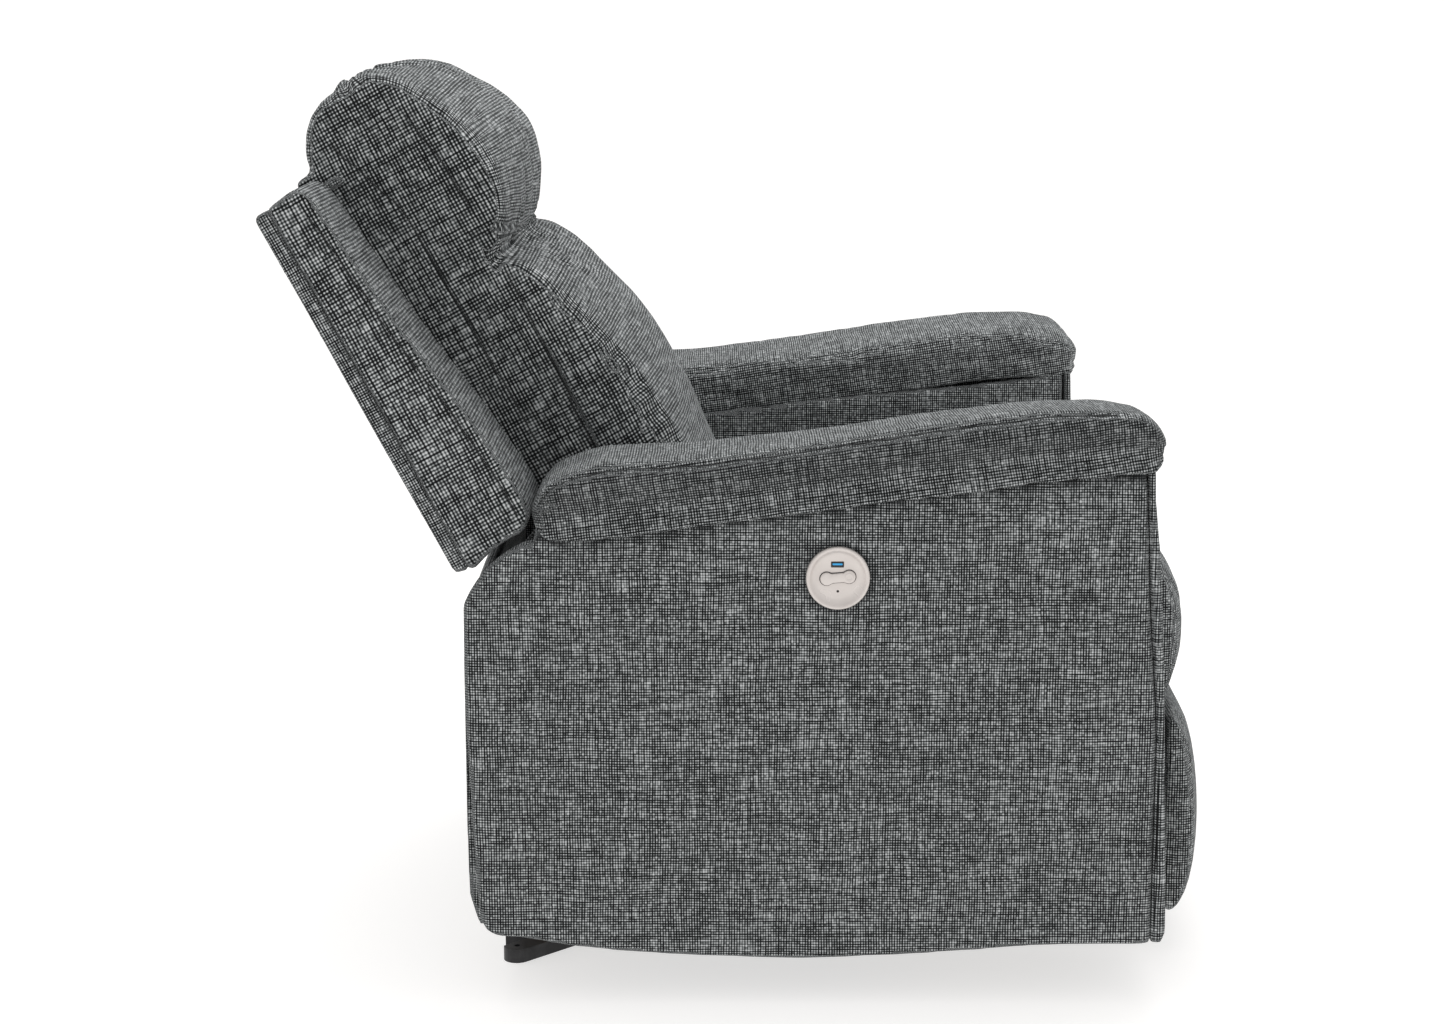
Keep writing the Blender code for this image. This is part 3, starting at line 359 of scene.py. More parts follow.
def ring_faces(rings, count):
    """The faces between successive rings of points."""
    starts = range(0, (rings - 1) * count, count)
    pairs = [(start + k, start + (k + 1) % count) for start in starts for k in range(count)]
    return [(a, b, b + count, a + count) for a, b in pairs]


def joined_copy(name, nodes, extra=()):
    """One new piece from the meshes of some CAD nodes, and of closed shapes given as (points, faces)."""
    shape = bmesh.new()
    for node in nodes:
        shape.from_mesh(NODES[node].data)
    for points, faces in extra:
        corners = [shape.verts.new(p) for p in points]
        for face in faces:
            shape.faces.new([corners[i] for i in face])
    bmesh.ops.remove_doubles(shape, verts=shape.verts, dist=1e-5)
    bmesh.ops.recalc_face_normals(shape, faces=shape.faces)
    mesh = bpy.data.meshes.new(name)
    shape.to_mesh(mesh)
    shape.free()
    return new_piece(name, mesh)


def settle(piece):
    """The piece's modifiers made into its mesh."""
    graph = bpy.context.evaluated_depsgraph_get()
    graph.update()
    made = bpy.data.meshes.new_from_object(piece.evaluated_get(graph))
    piece.modifiers.clear()
    old = piece.data
    piece.data = made
    bpy.data.meshes.remove(old)
    made.name = piece.name


def modify(piece, kind, **settings):
    modifier = piece.modifiers.new(kind, kind)
    for key, value in settings.items():
        setattr(modifier, key, value)
    settle(piece)


def remesh(piece, voxel):
    modify(piece, "REMESH", mode="VOXEL", voxel_size=voxel)


def relax(piece, rounds):
    modify(piece, "SMOOTH", factor=0.5, iterations=rounds)


def refine(piece):
    modify(piece, "SUBSURF", levels=1, render_levels=1)


def swell(piece, amount):
    """Every point moved along its normal, all alike or each by its own amount, which may be inwards."""
    mesh = piece.data
    set_points(mesh, points_of(mesh) + normals_of(mesh) * np.reshape(amount, (-1, 1)))


# A light upholstery cover, stiffer along its yarns than on the bias
CLOTH = {"quality": 5, "mass": 0.25, "tension_stiffness": 15.0, "compression_stiffness": 15.0,
         "shear_stiffness": 6.0, "bending_stiffness": 0.35, "tension_damping": 8, "air_damping": 2,
         "use_pressure": True}
CLOTH_FRAMES = 20


def inflate(piece, pressure, cap, held, stretch):
    """Cloth simulation of the cover over its filling; held is a 0 to 1 weight that pins points in place."""
    rest = points_of(piece.data)
    cloth = piece.modifiers.new("cover", "CLOTH")
    settings = cloth.settings
    for key, value in CLOTH.items():
        setattr(settings, key, value)
    settings.uniform_pressure_force = pressure
    settings.shrink_min = -stretch
    settings.effector_weights.gravity = 0
    cloth.collision_settings.use_collision = False
    group = piece.vertex_groups.new(name="held")
    for index, weight in enumerate(held):
        if weight > 0.02:
            group.add([index], float(min(1.0, weight)), "REPLACE")
    settings.vertex_group_mass = "held"
    scene = bpy.context.scene
    cloth.point_cache.frame_start = 1
    cloth.point_cache.frame_end = CLOTH_FRAMES
    for step in range(1, CLOTH_FRAMES + 1):
        scene.frame_set(step)
    graph = bpy.context.evaluated_depsgraph_get()
    moved = points_of(piece.evaluated_get(graph).data)
    piece.modifiers.clear()
    piece.vertex_groups.clear()
    scene.frame_set(1)
    way = moved - rest
    length = np.linalg.norm(way, axis=1)
    share = np.minimum(1.0, cap / np.maximum(length, 1e-9))
    set_points(piece.data, rest + way * share[:, None])


def fit_box(piece, low, high):
    """Points past a box are brought back to it, where the piece lies against its neighbours."""
    set_points(piece.data, np.clip(points_of(piece.data), low, high))


def along_path(points, path):
    """Each point's distance to a path, and how far along the path its nearest point lies."""
    path = np.asarray(path, float)
    runs = path[1:] - path[:-1]
    lengths = np.linalg.norm(runs, axis=1)
    starts = np.concatenate([[0.0], np.cumsum(lengths)])
    nearest = np.full(len(points), 1e9)
    place = np.zeros(len(points))
    for start, run, length, before in zip(path, runs, lengths, starts):
        t = np.clip((points - start) @ run / (length * length), 0, 1)
        distance = np.linalg.norm(points - start - t[:, None] * run, axis=1)
        closer = distance < nearest
        nearest[closer] = distance[closer]
        place[closer] = (before + t * length)[closer]
    return nearest, place


def on_surface(points, path, spacing=0.005):
    """A path drawn near a piece, resampled and brought onto its nearest points, then evened out."""
    path = np.asarray(path, float)
    steps = np.linalg.norm(np.diff(path, axis=0), axis=1)
    run = np.concatenate([[0.0], np.cumsum(steps)])
    wanted = np.linspace(0, run[-1], max(4, int(run[-1] / spacing)))
    fine = np.stack([np.interp(wanted, run, path[:, k]) for k in range(3)], axis=1)
    inside = (points > fine.min(axis=0) - 0.06) & (points < fine.max(axis=0) + 0.06)
    near = points[inside.all(axis=1)]
    tree = kdtree.KDTree(len(near))
    for index, point in enumerate(near):
        tree.insert(point, index)
    tree.balance()
    found = np.array([near[tree.find(p)[1]] for p in fine])
    for _ in range(3):
        found[1:-1] = (found[:-2] + 2 * found[1:-1] + found[2:]) / 4
    return found


def paint_shade(mesh, shade):
    """Paints shade onto the cover by a share at each point, where it isn't darker already."""
    layer = mesh.attributes.get("painted_shade") or mesh.attributes.new("painted_shade", "FLOAT", "POINT")
    shades = np.zeros(len(mesh.vertices))
    layer.data.foreach_get("value", shades)
    layer.data.foreach_set("value", np.maximum(shades, shade))


def crease(piece, path, width=0.004, depth=0.003, shade=0.75, ridge=0.35):
    """A sewn seam: the cover pulled in along a path, a little proud beside it, and painted shade at the
    bottom.
    """
    points = points_of(piece.data)
    path = on_surface(points, path)
    distance, _ = along_path(points, path)
    pulled = np.exp(-(distance / width) ** 2)
    proud = np.exp(-((distance - 2.4 * width) / (1.5 * width)) ** 2)
    swell(piece, depth * (ridge * proud - pulled))
    paint_shade(piece.data, shade * np.exp(-(distance / (0.55 * width)) ** 2))
    return path


def gather(piece, path, reach, depth, pitch, seed, sharp=1.6, only=None):
    """Fullness gathered into a seam: folds that run away from the path and die out with distance."""
    points = points_of(piece.data)
    distance, place = along_path(points, on_surface(points, path))
    rng = np.random.default_rng(seed)
    wave = np.zeros(len(points))
    for share in (1.0, 0.62, 1.57):
        phase, strength = rng.uniform(0, 2 * math.pi), rng.uniform(0.6, 1.0)
        drift = 1 + 0.25 * np.sin(place / (pitch * 3.1 * share) + phase)
        wave += strength * np.sin(2 * math.pi * place * drift / (pitch * share) + phase)
    wave = np.sign(wave) * np.abs(wave / 2.0) ** sharp
    uneven = 0.65 + 0.35 * np.sin(place / (pitch * 1.7) + rng.uniform(0, 6))
    fade = np.exp(-distance / (reach * uneven)) * (1 - np.exp(-(distance / 0.004) ** 2))
    amount = depth * wave * fade
    swell(piece, amount if only is None else amount * only(points))


def seam_cords(name, piece, paths):
    """The sewing thread that lies in a piece's seams, as thin tubes on its surface, toned dark partly as
    painted shade in the seams.
    """
    points = points_of(piece.data)
    rings, faces = [], []
    for path in paths:
        line = on_surface(points, path, 0.004)
        for index, centre in enumerate(line):
            way = line[min(index + 1, len(line) - 1)] - line[max(index - 1, 0)]
            way /= np.linalg.norm(way)
            side = np.cross(way, (0.31, 0.23, 0.92))
            side /= np.linalg.norm(side)
            over = np.cross(way, side)
            start = len(rings)
            for k in range(CORD_SIDES):
                turn = k * 2 * math.pi / CORD_SIDES
                rings.append(tuple(centre + CORD_RADIUS * (math.cos(turn) * side + math.sin(turn) * over)))
                if index:
                    a, b = start + k, start + (k + 1) % CORD_SIDES
                    faces.append((a - CORD_SIDES, b - CORD_SIDES, b, a))
    mesh = bpy.data.meshes.new(name)
    mesh.from_pydata(rings, [], faces)
    return new_piece(name, mesh)


def rumple(piece, depth, size, seed):
    """Slow unevenness of a stuffed surface, as a sum of a few waves in random directions."""
    points = points_of(piece.data)
    rng = np.random.default_rng(seed)
    total = np.zeros(len(points))
    for _ in range(7):
        way = rng.normal(size=3)
        way *= 2 * math.pi / (size * rng.uniform(0.7, 1.6)) / np.linalg.norm(way)
        total += np.sin(points @ way + rng.uniform(0, 6.28))
    swell(piece, depth * total / 3.0)


# --- threads ---


def girth(piece, axis, at, start):
    """The section across an axis: its points in order from the one nearest to start, and the length run."""
    normal = Vector((0, 0, 0))
    normal[axis] = 1
    shape = bmesh.new()
    shape.from_mesh(piece.data)
    everything = shape.verts[:] + shape.edges[:] + shape.faces[:]
    bmesh.ops.bisect_plane(shape, geom=everything, plane_co=normal * at, plane_no=normal, clear_inner=True,
                           clear_outer=True)
    shape.verts.ensure_lookup_table()
    current = min(shape.verts, key=lambda v: (v.co - Vector(start)).length)
    ring, seen = [current.co.copy()], {current}
    while True:
        onward = [e.other_vert(current) for e in current.link_edges if e.other_vert(current) not in seen]
        if not onward:
            break
        current = onward[0]
        seen.add(current)
        ring.append(current.co.copy())
    shape.free()
    ring = np.array(ring)
    steps = np.linalg.norm(np.diff(ring, axis=0), axis=1)
    return ring, np.concatenate([[0.0], np.cumsum(steps)])


def turned_pair(points, first, second, angle):
    """Two of the coordinates, turned by an angle, as a piece's own upright and level."""
    cos, sin = math.cos(angle), math.sin(angle)
    p, q = points[:, first], points[:, second]
    return cos * p + sin * q, cos * q - sin * p


END_FACING = 0.72  # points whose normals lie this much along the axis belong to an end


def write_threads(mesh, u, v):
    layer = mesh.attributes.new("threads", "FLOAT_VECTOR", "POINT")
    layer.data.foreach_set("vector", np.stack([u, v, np.zeros(len(u))], axis=1).ravel())


def lay_threads(piece, axis, at, start, angle=0.0, scale=1.0):
    """Thread coordinates: round the piece and along its axis, and straight across its two ends."""
    mesh = piece.data
    points, normals = points_of(mesh), normals_of(mesh)
    others = [k for k in range(3) if k != axis]
    ring, run = girth(piece, axis, at, start)
    tree = kdtree.KDTree(len(ring))
    for index, corner in enumerate(ring):
        flat = Vector(corner)
        flat[axis] = 0
        tree.insert(flat, index)
    tree.balance()
    tangents = np.gradient(ring, axis=0)
    tangents /= np.maximum(np.linalg.norm(tangents, axis=1), 1e-9)[:, None]
    flattened = points.copy()
    flattened[:, axis] = 0
    nearest = np.array([tree.find(p)[1] for p in flattened])
    offset = points - ring[nearest]
    offset[:, axis] = 0
    round_it = run[nearest] + np.einsum("ij,ij->i", offset, tangents[nearest])
    level, upright = turned_pair(points, others[0], others[1], angle)
    end = np.abs(normals[:, axis]) > END_FACING
    u = np.where(end, level, points[:, axis]) * scale
    v = np.where(end, upright, round_it) * scale
    write_threads(mesh, u, v)


def lay_flat_threads(piece, angle=0.0):
    """Thread coordinates of a flat panel, on whichever plane each point faces most."""
    mesh = piece.data
    points, normals = points_of(mesh), np.abs(normals_of(mesh))
    level, upright = turned_pair(points, 1, 2, angle)
    facing = normals.argmax(axis=1)
    write_threads(mesh, np.where(facing == 0, level, points[:, 0]), np.where(facing == 2, level, upright))


# --- shared finishing ---


def dress(piece, look, body, nodes):
    """The last steps of every new piece: its look, its body and the CAD nodes it stands for."""
    piece.data.materials.clear()
    piece.data.materials.append(look)
    piece.data.shade_smooth()
    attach(piece, body)
    if nodes:
        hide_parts(*nodes)
    return piece


def finish_seams(name, piece, paths, body):
    cords = seam_cords(name, piece, paths)
    lay_flat_threads(cords)
    return dress(cords, SEAM_THREAD_AND_SHADE, body, ())


def back_place(along, forward, x=0.0):
    """A point on the back from its own axes: along the lean from the pivot, and forward of it."""
    sin, cos = math.sin(BACK_LEAN), math.cos(BACK_LEAN)
    return (x, BACK_FOOT[0] + along * sin - forward * cos, BACK_FOOT[1] + along * cos + forward * sin)


def back_axes(points):
    """Points in the back's own axes: along, and forward."""
    sin, cos = math.sin(BACK_LEAN), math.cos(BACK_LEAN)
    y, z = points[:, 1] - BACK_FOOT[0], points[:, 2] - BACK_FOOT[1]
    return y * sin + z * cos, z * sin - y * cos


def mirrored_piece(piece, name):
    """The piece's mirror image across the chair's middle."""
    mesh = piece.data.copy()
    mesh.name = name
    shape = bmesh.new()
    shape.from_mesh(mesh)
    for vert in shape.verts:
        vert.co.x = -vert.co.x
    bmesh.ops.reverse_faces(shape, faces=shape.faces)
    shape.to_mesh(mesh)
    shape.free()
    return new_piece(name, mesh)


def finish_pair(kind, seam_word, piece, sewn, body):
    """A right-hand cover and its mirror image, each with the thread in its seam."""
    twin = mirrored_piece(piece, f"{kind}_left_cover")
    finish_seams(f"{kind}_right_{seam_word}", piece, [sewn], body)
    finish_seams(f"{kind}_left_{seam_word}", twin, [sewn * (-1, 1, 1)], body)
    dress(piece, FABRIC, body, (f"{kind}_right",))
    dress(twin, FABRIC, body, (f"{kind}_left",))


# --- upholstered pieces ---

CROWN_REACH = 0.245  # how far to each side the seam over the pillow's top runs


def slanted_block(along, forward, x_range):
    """A closed box drawn in the back's own axes, as (points, faces)."""
    sides = ((along[0], forward[0]), (along[1], forward[0]), (along[1], forward[1]), (along[0], forward[1]))
    points = [back_place(s, d, x) for x in x_range for s, d in sides]
    faces = [(0, 1, 2, 3), (7, 6, 5, 4), (0, 4, 5, 1), (1, 5, 6, 2), (2, 6, 7, 3), (3, 7, 4, 0)]
    return points, faces


def cover_fillers():
    """What makes the back's cover one piece: stuffing behind the notch and boxing round the frame."""
    reach = CUSHION_SIDE - 0.002
    # each block's range along the back, forward of it, and across the chair
    shapes = [slanted_block((0.385, 0.445), (0.050, 0.118), (-reach, reach)),
              slanted_block((0.556, 0.585), (-0.046, 0.050), (-0.279, 0.279))]
    for low, high in ((-reach, -0.262), (0.262, reach)):
        shapes.append(slanted_block((0.215, 0.553), (-0.050, 0.060), (low, high)))
        shapes.append(slanted_block((0.140, 0.230), (0.006, 0.060), (low, high)))
        shapes.append(slanted_block((0.540, 0.600), (0.008, 0.060), (low, high)))
    return shapes


def back_seam(side, spans):
    """A seam on the side of the back cushion, as (along, forward) points."""
    return [back_place(s, d, side * CUSHION_SIDE) for s, d in spans]


SIDE_SEAM = ((0.150, 0.104), (0.230, 0.107), (0.320, 0.111), (0.400, 0.114), (0.470, 0.113), (0.530, 0.109),
             (0.590, 0.098))
REAR_SEAM = ((0.150, 0.052), (0.360, 0.050), (0.500, 0.046), (0.600, 0.012))
TUCK_CREASE = ((0.413, 0.158), (0.425, 0.128), (0.440, 0.104))

# The back cushion's crest at the chair's middle, as (along, forward)
BACK_CREST = ((0.020, 0.196), (0.084, 0.204), (0.138, 0.210), (0.176, 0.209), (0.215, 0.207), (0.263, 0.201),
              (0.311, 0.189), (0.346, 0.175), (0.379, 0.157), (0.400, 0.144), (0.412, 0.136), (0.421, 0.147),
              (0.456, 0.173), (0.518, 0.189), (0.570, 0.176), (0.609, 0.149))
CREST_BASE = 0.070  # nothing further back than this moves
CREST_FALL = ((0.10, 0.30, 0.45), (0.09, 0.17, 0.22))  # how much lower the crest ends at the sides
TUCK_ALONG = 0.413  # where the tuck between bolster and pillow runs


def fit_crest(piece):
    """Brings the cushion's front to its crest line at the middle, falling away towards both sides."""
    points = points_of(piece.data)
    along, forward = back_axes(points)
    middle = np.abs(points[:, 0]) < 0.03
    stops = np.arange(0.02, 0.612, 0.008)
    found = np.array([forward[middle & (np.abs(along - stop) < 0.006)].max() for stop in stops])
    wanted = np.interp(stops, *np.array(BACK_CREST).T)
    ratio = (wanted - CREST_BASE) / (found - CREST_BASE)
    ratio = np.convolve(np.pad(ratio, 2, "edge"), np.ones(5) / 5, "valid")
    fall = np.interp(along, *CREST_FALL) * (np.abs(points[:, 0]) / CUSHION_SIDE) ** 2
    share = np.interp(along, stops, ratio) * (1 - fall)
    past = np.maximum(forward - CREST_BASE, 0)
    eased = 1 + (share - 1) * np.minimum(1, past / 0.03)
    forward = np.where(past > 0, CREST_BASE + past * eased, forward)
    _, points[:, 1], points[:, 2] = back_place(along, forward)
    set_points(piece.data, points)


def below_tuck(points):
    return (back_axes(points)[0] < TUCK_ALONG + 0.005).astype(float)


def above_tuck(points):
    return 1 - below_tuck(points)


def away_from_sides(points):
    return np.clip((CUSHION_SIDE - 0.01 - np.abs(points[:, 0])) / 0.07, 0, 1)


def near_ends(points):
    return np.clip((np.abs(points[:, 0]) - 0.18) / 0.08, 0, 1)


def build_back_cushion():
    """Lumbar bolster and head pillow, which share one cover with a deep tuck between them."""
    piece = joined_copy("back_cushion_cover", ("lumbar_cushion", "head_pillow"), cover_fillers())
    remesh(piece, CUSHION_VOXEL)
    relax(piece, 2)
    points = points_of(piece.data)
    along, forward = back_axes(points)
    side = np.abs(points[:, 0])
    held = ((forward < 0.050) & (along < 0.60) | (forward < 0.020)).astype(float)
    for path in (SIDE_SEAM, REAR_SEAM):
        distance, _ = along_path(np.stack([along, forward], axis=1), path)
        held = np.maximum(held, np.exp(-(distance / 0.006) ** 2) * (side > CUSHION_SIDE - 0.020))
    tuck = np.exp(-((along - TUCK_ALONG) / 0.010) ** 2) * (forward > 0.08)
    held = np.maximum(held, tuck)
    swell(piece, -0.004 * (1 - held))
    inflate(piece, pressure=4.0, cap=0.007, held=held, stretch=0.02)
    relax(piece, 1)
    fit_crest(piece)
    refine(piece)
    seams = []
    for side in (-1, 1):
        for span in (SIDE_SEAM[:4], SIDE_SEAM[4:]):
            seams.append(crease(piece, back_seam(side, span), width=0.0035, depth=0.0022, shade=0.6))
        seams.append(crease(piece, back_seam(side, REAR_SEAM), width=0.0035, depth=0.0014, shade=0.5))
        crease(piece, back_seam(side, TUCK_CREASE), width=0.0060, depth=0.0030, shade=0.35)
        gather(piece, back_seam(side, SIDE_SEAM), reach=0.020, depth=0.0010, pitch=0.034, seed=5,
               only=near_ends)
    tuck = [back_place(TUCK_ALONG, 0.150, x) for x in np.linspace(-CUSHION_SIDE, CUSHION_SIDE, 12)]
    gather(piece, tuck, reach=0.080, depth=0.0065, pitch=0.046, seed=11, only=below_tuck)
    gather(piece, tuck, reach=0.035, depth=0.0030, pitch=0.036, seed=12, only=above_tuck)
    crown = [back_place(0.662, 0.062, x) for x in np.linspace(-CROWN_REACH, CROWN_REACH, 12)]
    crease(piece, crown, width=0.0045, depth=0.003)
    gather(piece, crown, reach=0.090, depth=0.0055, pitch=0.040, seed=13, only=away_from_sides)
    rumple(piece, depth=0.0016, size=0.16, seed=3)
    lay_threads(piece, 0, 0.01, back_place(0.30, 0.0), -BACK_LEAN, BACK_WEAVE)
    finish_seams("back_cushion_seams", piece, seams, "back")
    return dress(piece, FABRIC, "back", ("lumbar_cushion", "head_pillow"))


def round_off_ends(piece, face, flat, share):
    """The front of a roll drawn back towards its two ends, past a plane at y = face."""
    points = points_of(piece.data)
    past = np.minimum(points[:, 1] - face, 0)
    end = np.maximum(0, (np.abs(points[:, 0]) - flat) / (CUSHION_SIDE - flat)) ** 2
    points[:, 1] -= past * share * end
    set_points(piece.data, points)


def build_seat_cushion():
    piece = joined_copy("seat_cushion_cover", ("seat_cushion",))
    remesh(piece, CUSHION_VOXEL)
    relax(piece, 2)
    swell(piece, -0.006)
    points = points_of(piece.data)
    side = np.abs(points[:, 0])
    under = (points[:, 2] < 0.350) * (points[:, 1] > -0.41)
    held = np.maximum(under, np.exp(-((side - 0.268) / 0.006) ** 2))
    inflate(piece, pressure=4.0, cap=0.008, held=held.astype(float), stretch=0.02)
    relax(piece, 1)
    refine(piece)
    round_off_ends(piece, -0.450, 0.15, 0.22)
    seam = [(x, -0.352, 0.492) for x in np.linspace(-0.27, 0.27, 14)]
    crease(piece, seam, width=0.005, depth=0.005)
    gather(piece, seam, reach=0.045, depth=0.003, pitch=0.038, seed=21)
    rumple(piece, depth=0.0015, size=0.18, seed=4)
    fit_box(piece, (-SEAT_SIDE, -1, 0.296), (SEAT_SIDE, 1, 1))
    lay_threads(piece, 0, 0.01, (0, 0.08, 0.345))
    return dress(piece, FABRIC, "seat", ("seat_cushion",))


def build_footrest_pad():
    piece = joined_copy("footrest_pad_cover", ("footrest_pad",))
    remesh(piece, CUSHION_VOXEL * 0.85)
    relax(piece, 2)
    swell(piece, -0.003)
    points = points_of(piece.data)
    held = (points[:, 1] > -0.474).astype(float)
    inflate(piece, pressure=3.0, cap=0.004, held=held, stretch=0.02)
    relax(piece, 1)
    refine(piece)
    round_off_ends(piece, -0.478, 0.15, 0.33)
    rumple(piece, depth=0.0012, size=0.16, seed=6)
    fit_box(piece, (-SEAT_SIDE, -1, 0.040), (SEAT_SIDE, BOARD_FACE, 1))
    lay_threads(piece, 0, 0.01, (0, -0.468, 0.16))
    return dress(piece, FABRIC, "footrest", ("footrest_pad",))


# The arm pad's section: how far out from its inner side, and how far up from its underside, as shares
ARM_SECTION = ((0.030, -0.05), (0.006, 0.10), (0.004, 0.35), (0.006, 0.60), (0.030, 0.80), (0.095, 0.92),
               (0.230, 0.985), (0.440, 1.00), (0.640, 1.00), (0.800, 0.998), (0.890, 0.985), (0.945, 0.955),
               (0.982, 0.88), (0.990, 0.76), (0.957, 0.62), (0.908, 0.48), (0.878, 0.38), (0.872, 0.28),
               (0.895, 0.16), (0.928, 0.05), (0.945, -0.04), (0.935, -0.08), (0.870, -0.07), (0.450, -0.06))
ARM_SLOPE = math.radians(8.3)  # how far the arm rises towards its front
ARM_SEAM_RISE = (0.90, 0.955)  # the outer seam's height as a share of the pad's, at the rear and the front
PAD_SIDE_SHADE = 0.40  # painted shade: how much darker the pad's outer side is painted


def arm_stations():
    """The CAD pad's sections from rear to front: y, and the ranges of x and z there."""
    points = points_of(NODES["arm_pad_right"].data)
    rows = []
    for y in sorted(set(np.round(points[:, 1], 4)), reverse=True):
        ring = points[np.abs(points[:, 1] - y) < 1e-4]
        rows.append((y, ring[:, 0].max(), ring[:, 0].min(), ring[:, 2].min(), ring[:, 2].max()))
    return np.array(rows)


def at_station(rows, y, column):
    """One of the columns of arm_stations, read at any y."""
    return np.interp(-y, -rows[:, 0], rows[:, column])


def arm_point(rows, y, across, rise):
    """A point of the pad at a station: across from its inner side, and up from its underside."""
    inner, outer, low, high = (at_station(rows, y, column) for column in (1, 2, 3, 4))
    if rise > 0.75 and across < 0.82:
        rise -= np.interp(-y, (-0.12, 0.12), (0.00, 0.14)) * (0.82 - across)
    return (inner + (outer - inner) * across, y, low + (high - low) * rise)


def arm_pad_loft(rows):
    """A closed shape through the pad's sections, as (points, faces)."""
    stations = np.linspace(rows[0, 0], rows[-1, 0], 60)
    count = len(ARM_SECTION)
    points = [arm_point(rows, y, across, rise) for y in stations for across, rise in ARM_SECTION]
    caps = [tuple(reversed(range(count))), tuple(range(len(points) - count, len(points)))]
    return points, caps + ring_faces(len(stations), count)


def fit_height(piece, rows):
    """Brings the top of the pad back to the CAD pad's height, station by station."""
    points = points_of(piece.data)
    stops = np.arange(rows[-1, 0] + 0.012, rows[0, 0] - 0.012, 0.012)
    found = np.array([points[np.abs(points[:, 1] - stop) < 0.009, 2].max() for stop in stops])
    low = at_station(rows, stops, 3)
    high = np.max([at_station(rows, stops - step, 4) for step in (-0.009, 0, 0.009)], axis=0)
    ratio = np.minimum(1.0, (high - low) / (found - low))
    floor = at_station(rows, points[:, 1], 3)
    share = np.interp(points[:, 1], stops, ratio)
    points[:, 2] = np.where(points[:, 2] > floor, floor + (points[:, 2] - floor) * share, points[:, 2])
    set_points(piece.data, points)


def shade_pad_sides(piece, rows):
    """Painted shade on the pad's sides, darker than its top and the lip under them, and more on the outer
    side than the inner.
    """
    x, y, z = points_of(piece.data).T
    inner, outer, low, high = (at_station(rows, y, column) for column in (1, 2, 3, 4))
    band = np.interp((z - low) / (high - low), (0.26, 0.44, 0.82, 0.97), (0.12, 1, 1, 0))
    side = np.interp((x - inner) / (outer - inner), (0, 0.15, 0.70, 0.90), (0.5, 0, 0, 1))
    paint_shade(piece.data, PAD_SIDE_SHADE * band * side)


def build_arm_pads():
    rows = arm_stations()
    piece = joined_copy("arm_pad_right_cover", (), [arm_pad_loft(rows)])
    remesh(piece, CUSHION_VOXEL * 0.8)
    relax(piece, 3)
    swell(piece, -0.001)
    held = (normals_of(piece.data)[:, 2] < -0.7).astype(float)
    inflate(piece, pressure=3.0, cap=0.004, held=held, stretch=0.03)
    relax(piece, 1)
    fit_height(piece, rows)
    refine(piece)
    run = np.linspace(rows[1, 0], -0.375, 24)
    rises = np.interp(-run, (-run[0], -run[-1]), ARM_SEAM_RISE)
    seam = [arm_point(rows, y, across, rise)
            for y, rise, across in zip(run, rises, np.linspace(0.955, 0.915, len(run)))]
    sewn = crease(piece, seam, width=0.0035, depth=0.0025, shade=0.5)
    front_y = rows[-2, 0]
    front = [arm_point(rows, front_y - 0.006, across, 0.10) for across in np.linspace(0.05, 0.95, 8)]
    gather(piece, front, reach=0.028, depth=0.0035, pitch=0.020, seed=31)
    corner = [arm_point(rows, y, 0.92, 0.04) for y in np.linspace(front_y, front_y + 0.050, 6)]
    gather(piece, corner, reach=0.022, depth=0.0025, pitch=0.018, seed=33)
    rear = [arm_point(rows, rows[0, 0], across, 0.10) for across in np.linspace(0.05, 0.95, 8)]
    gather(piece, rear, reach=0.024, depth=0.0028, pitch=0.020, seed=32)
    rumple(piece, depth=0.0010, size=0.15, seed=7)
    shade_pad_sides(piece, rows)
    lay_flat_threads(piece, -ARM_SLOPE)
    finish_pair("arm_pad", "seam", piece, sewn, "chassis")


# The wing's front seam, as (along, forward)
WING_SEAM = ((0.165, 0.015), (0.180, 0.017), (0.270, 0.010), (0.393, -0.008), (0.520, -0.020),
             (0.548, -0.024))


def build_wings():
    piece = joined_copy("back_wing_right_cover", ("back_wing_right",))
    remesh(piece, PANEL_VOXEL)
    relax(piece, 2)
    swell(piece, 0.0012)
    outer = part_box("back_wing_right")[0][0]
    seam = [back_place(s, d, outer) for s, d in WING_SEAM]
    sewn = crease(piece, seam, width=0.003, depth=0.0018, shade=0.5)
    rumple(piece, depth=0.0010, size=0.20, seed=8)
    lay_threads(piece, 0, -0.36, back_place(0.30, -0.058, -0.36), -BACK_LEAN, BACK_WEAVE)
    finish_pair("back_wing", "seams", piece, sewn, "back")


def tuck_under_pad(piece):
    """A panel's top edge carried up into the arm pad's underside."""
    rows = arm_stations()
    points = points_of(piece.data)
    underside = at_station(rows, points[:, 1], 3)
    gap = underside - points[:, 2]
    raised = np.minimum(points[:, 2] + np.maximum(0, 0.030 - gap) * 0.9, underside + 0.003)
    near = (gap < 0.030) & (points[:, 1] < rows[0, 0] - 0.004)
    points[:, 2] = np.where(near, np.maximum(raised, points[:, 2]), points[:, 2])
    set_points(piece.data, points)


def panel_cover(node):
    piece = joined_copy(node + "_cover", (node,))
    remesh(piece, PANEL_VOXEL)
    relax(piece, 1)
    swell(piece, 0.0006)
    return piece


def draw_in_rear(piece):
    """The rear panel lies level with the side panels' rear edges."""
    points = points_of(piece.data)
    points[:, 1] = np.minimum(points[:, 1], REAR_FACE + 0.2 * (points[:, 1] - REAR_FACE))
    set_points(piece.data, points)


BACK_WADDING = 0.0062


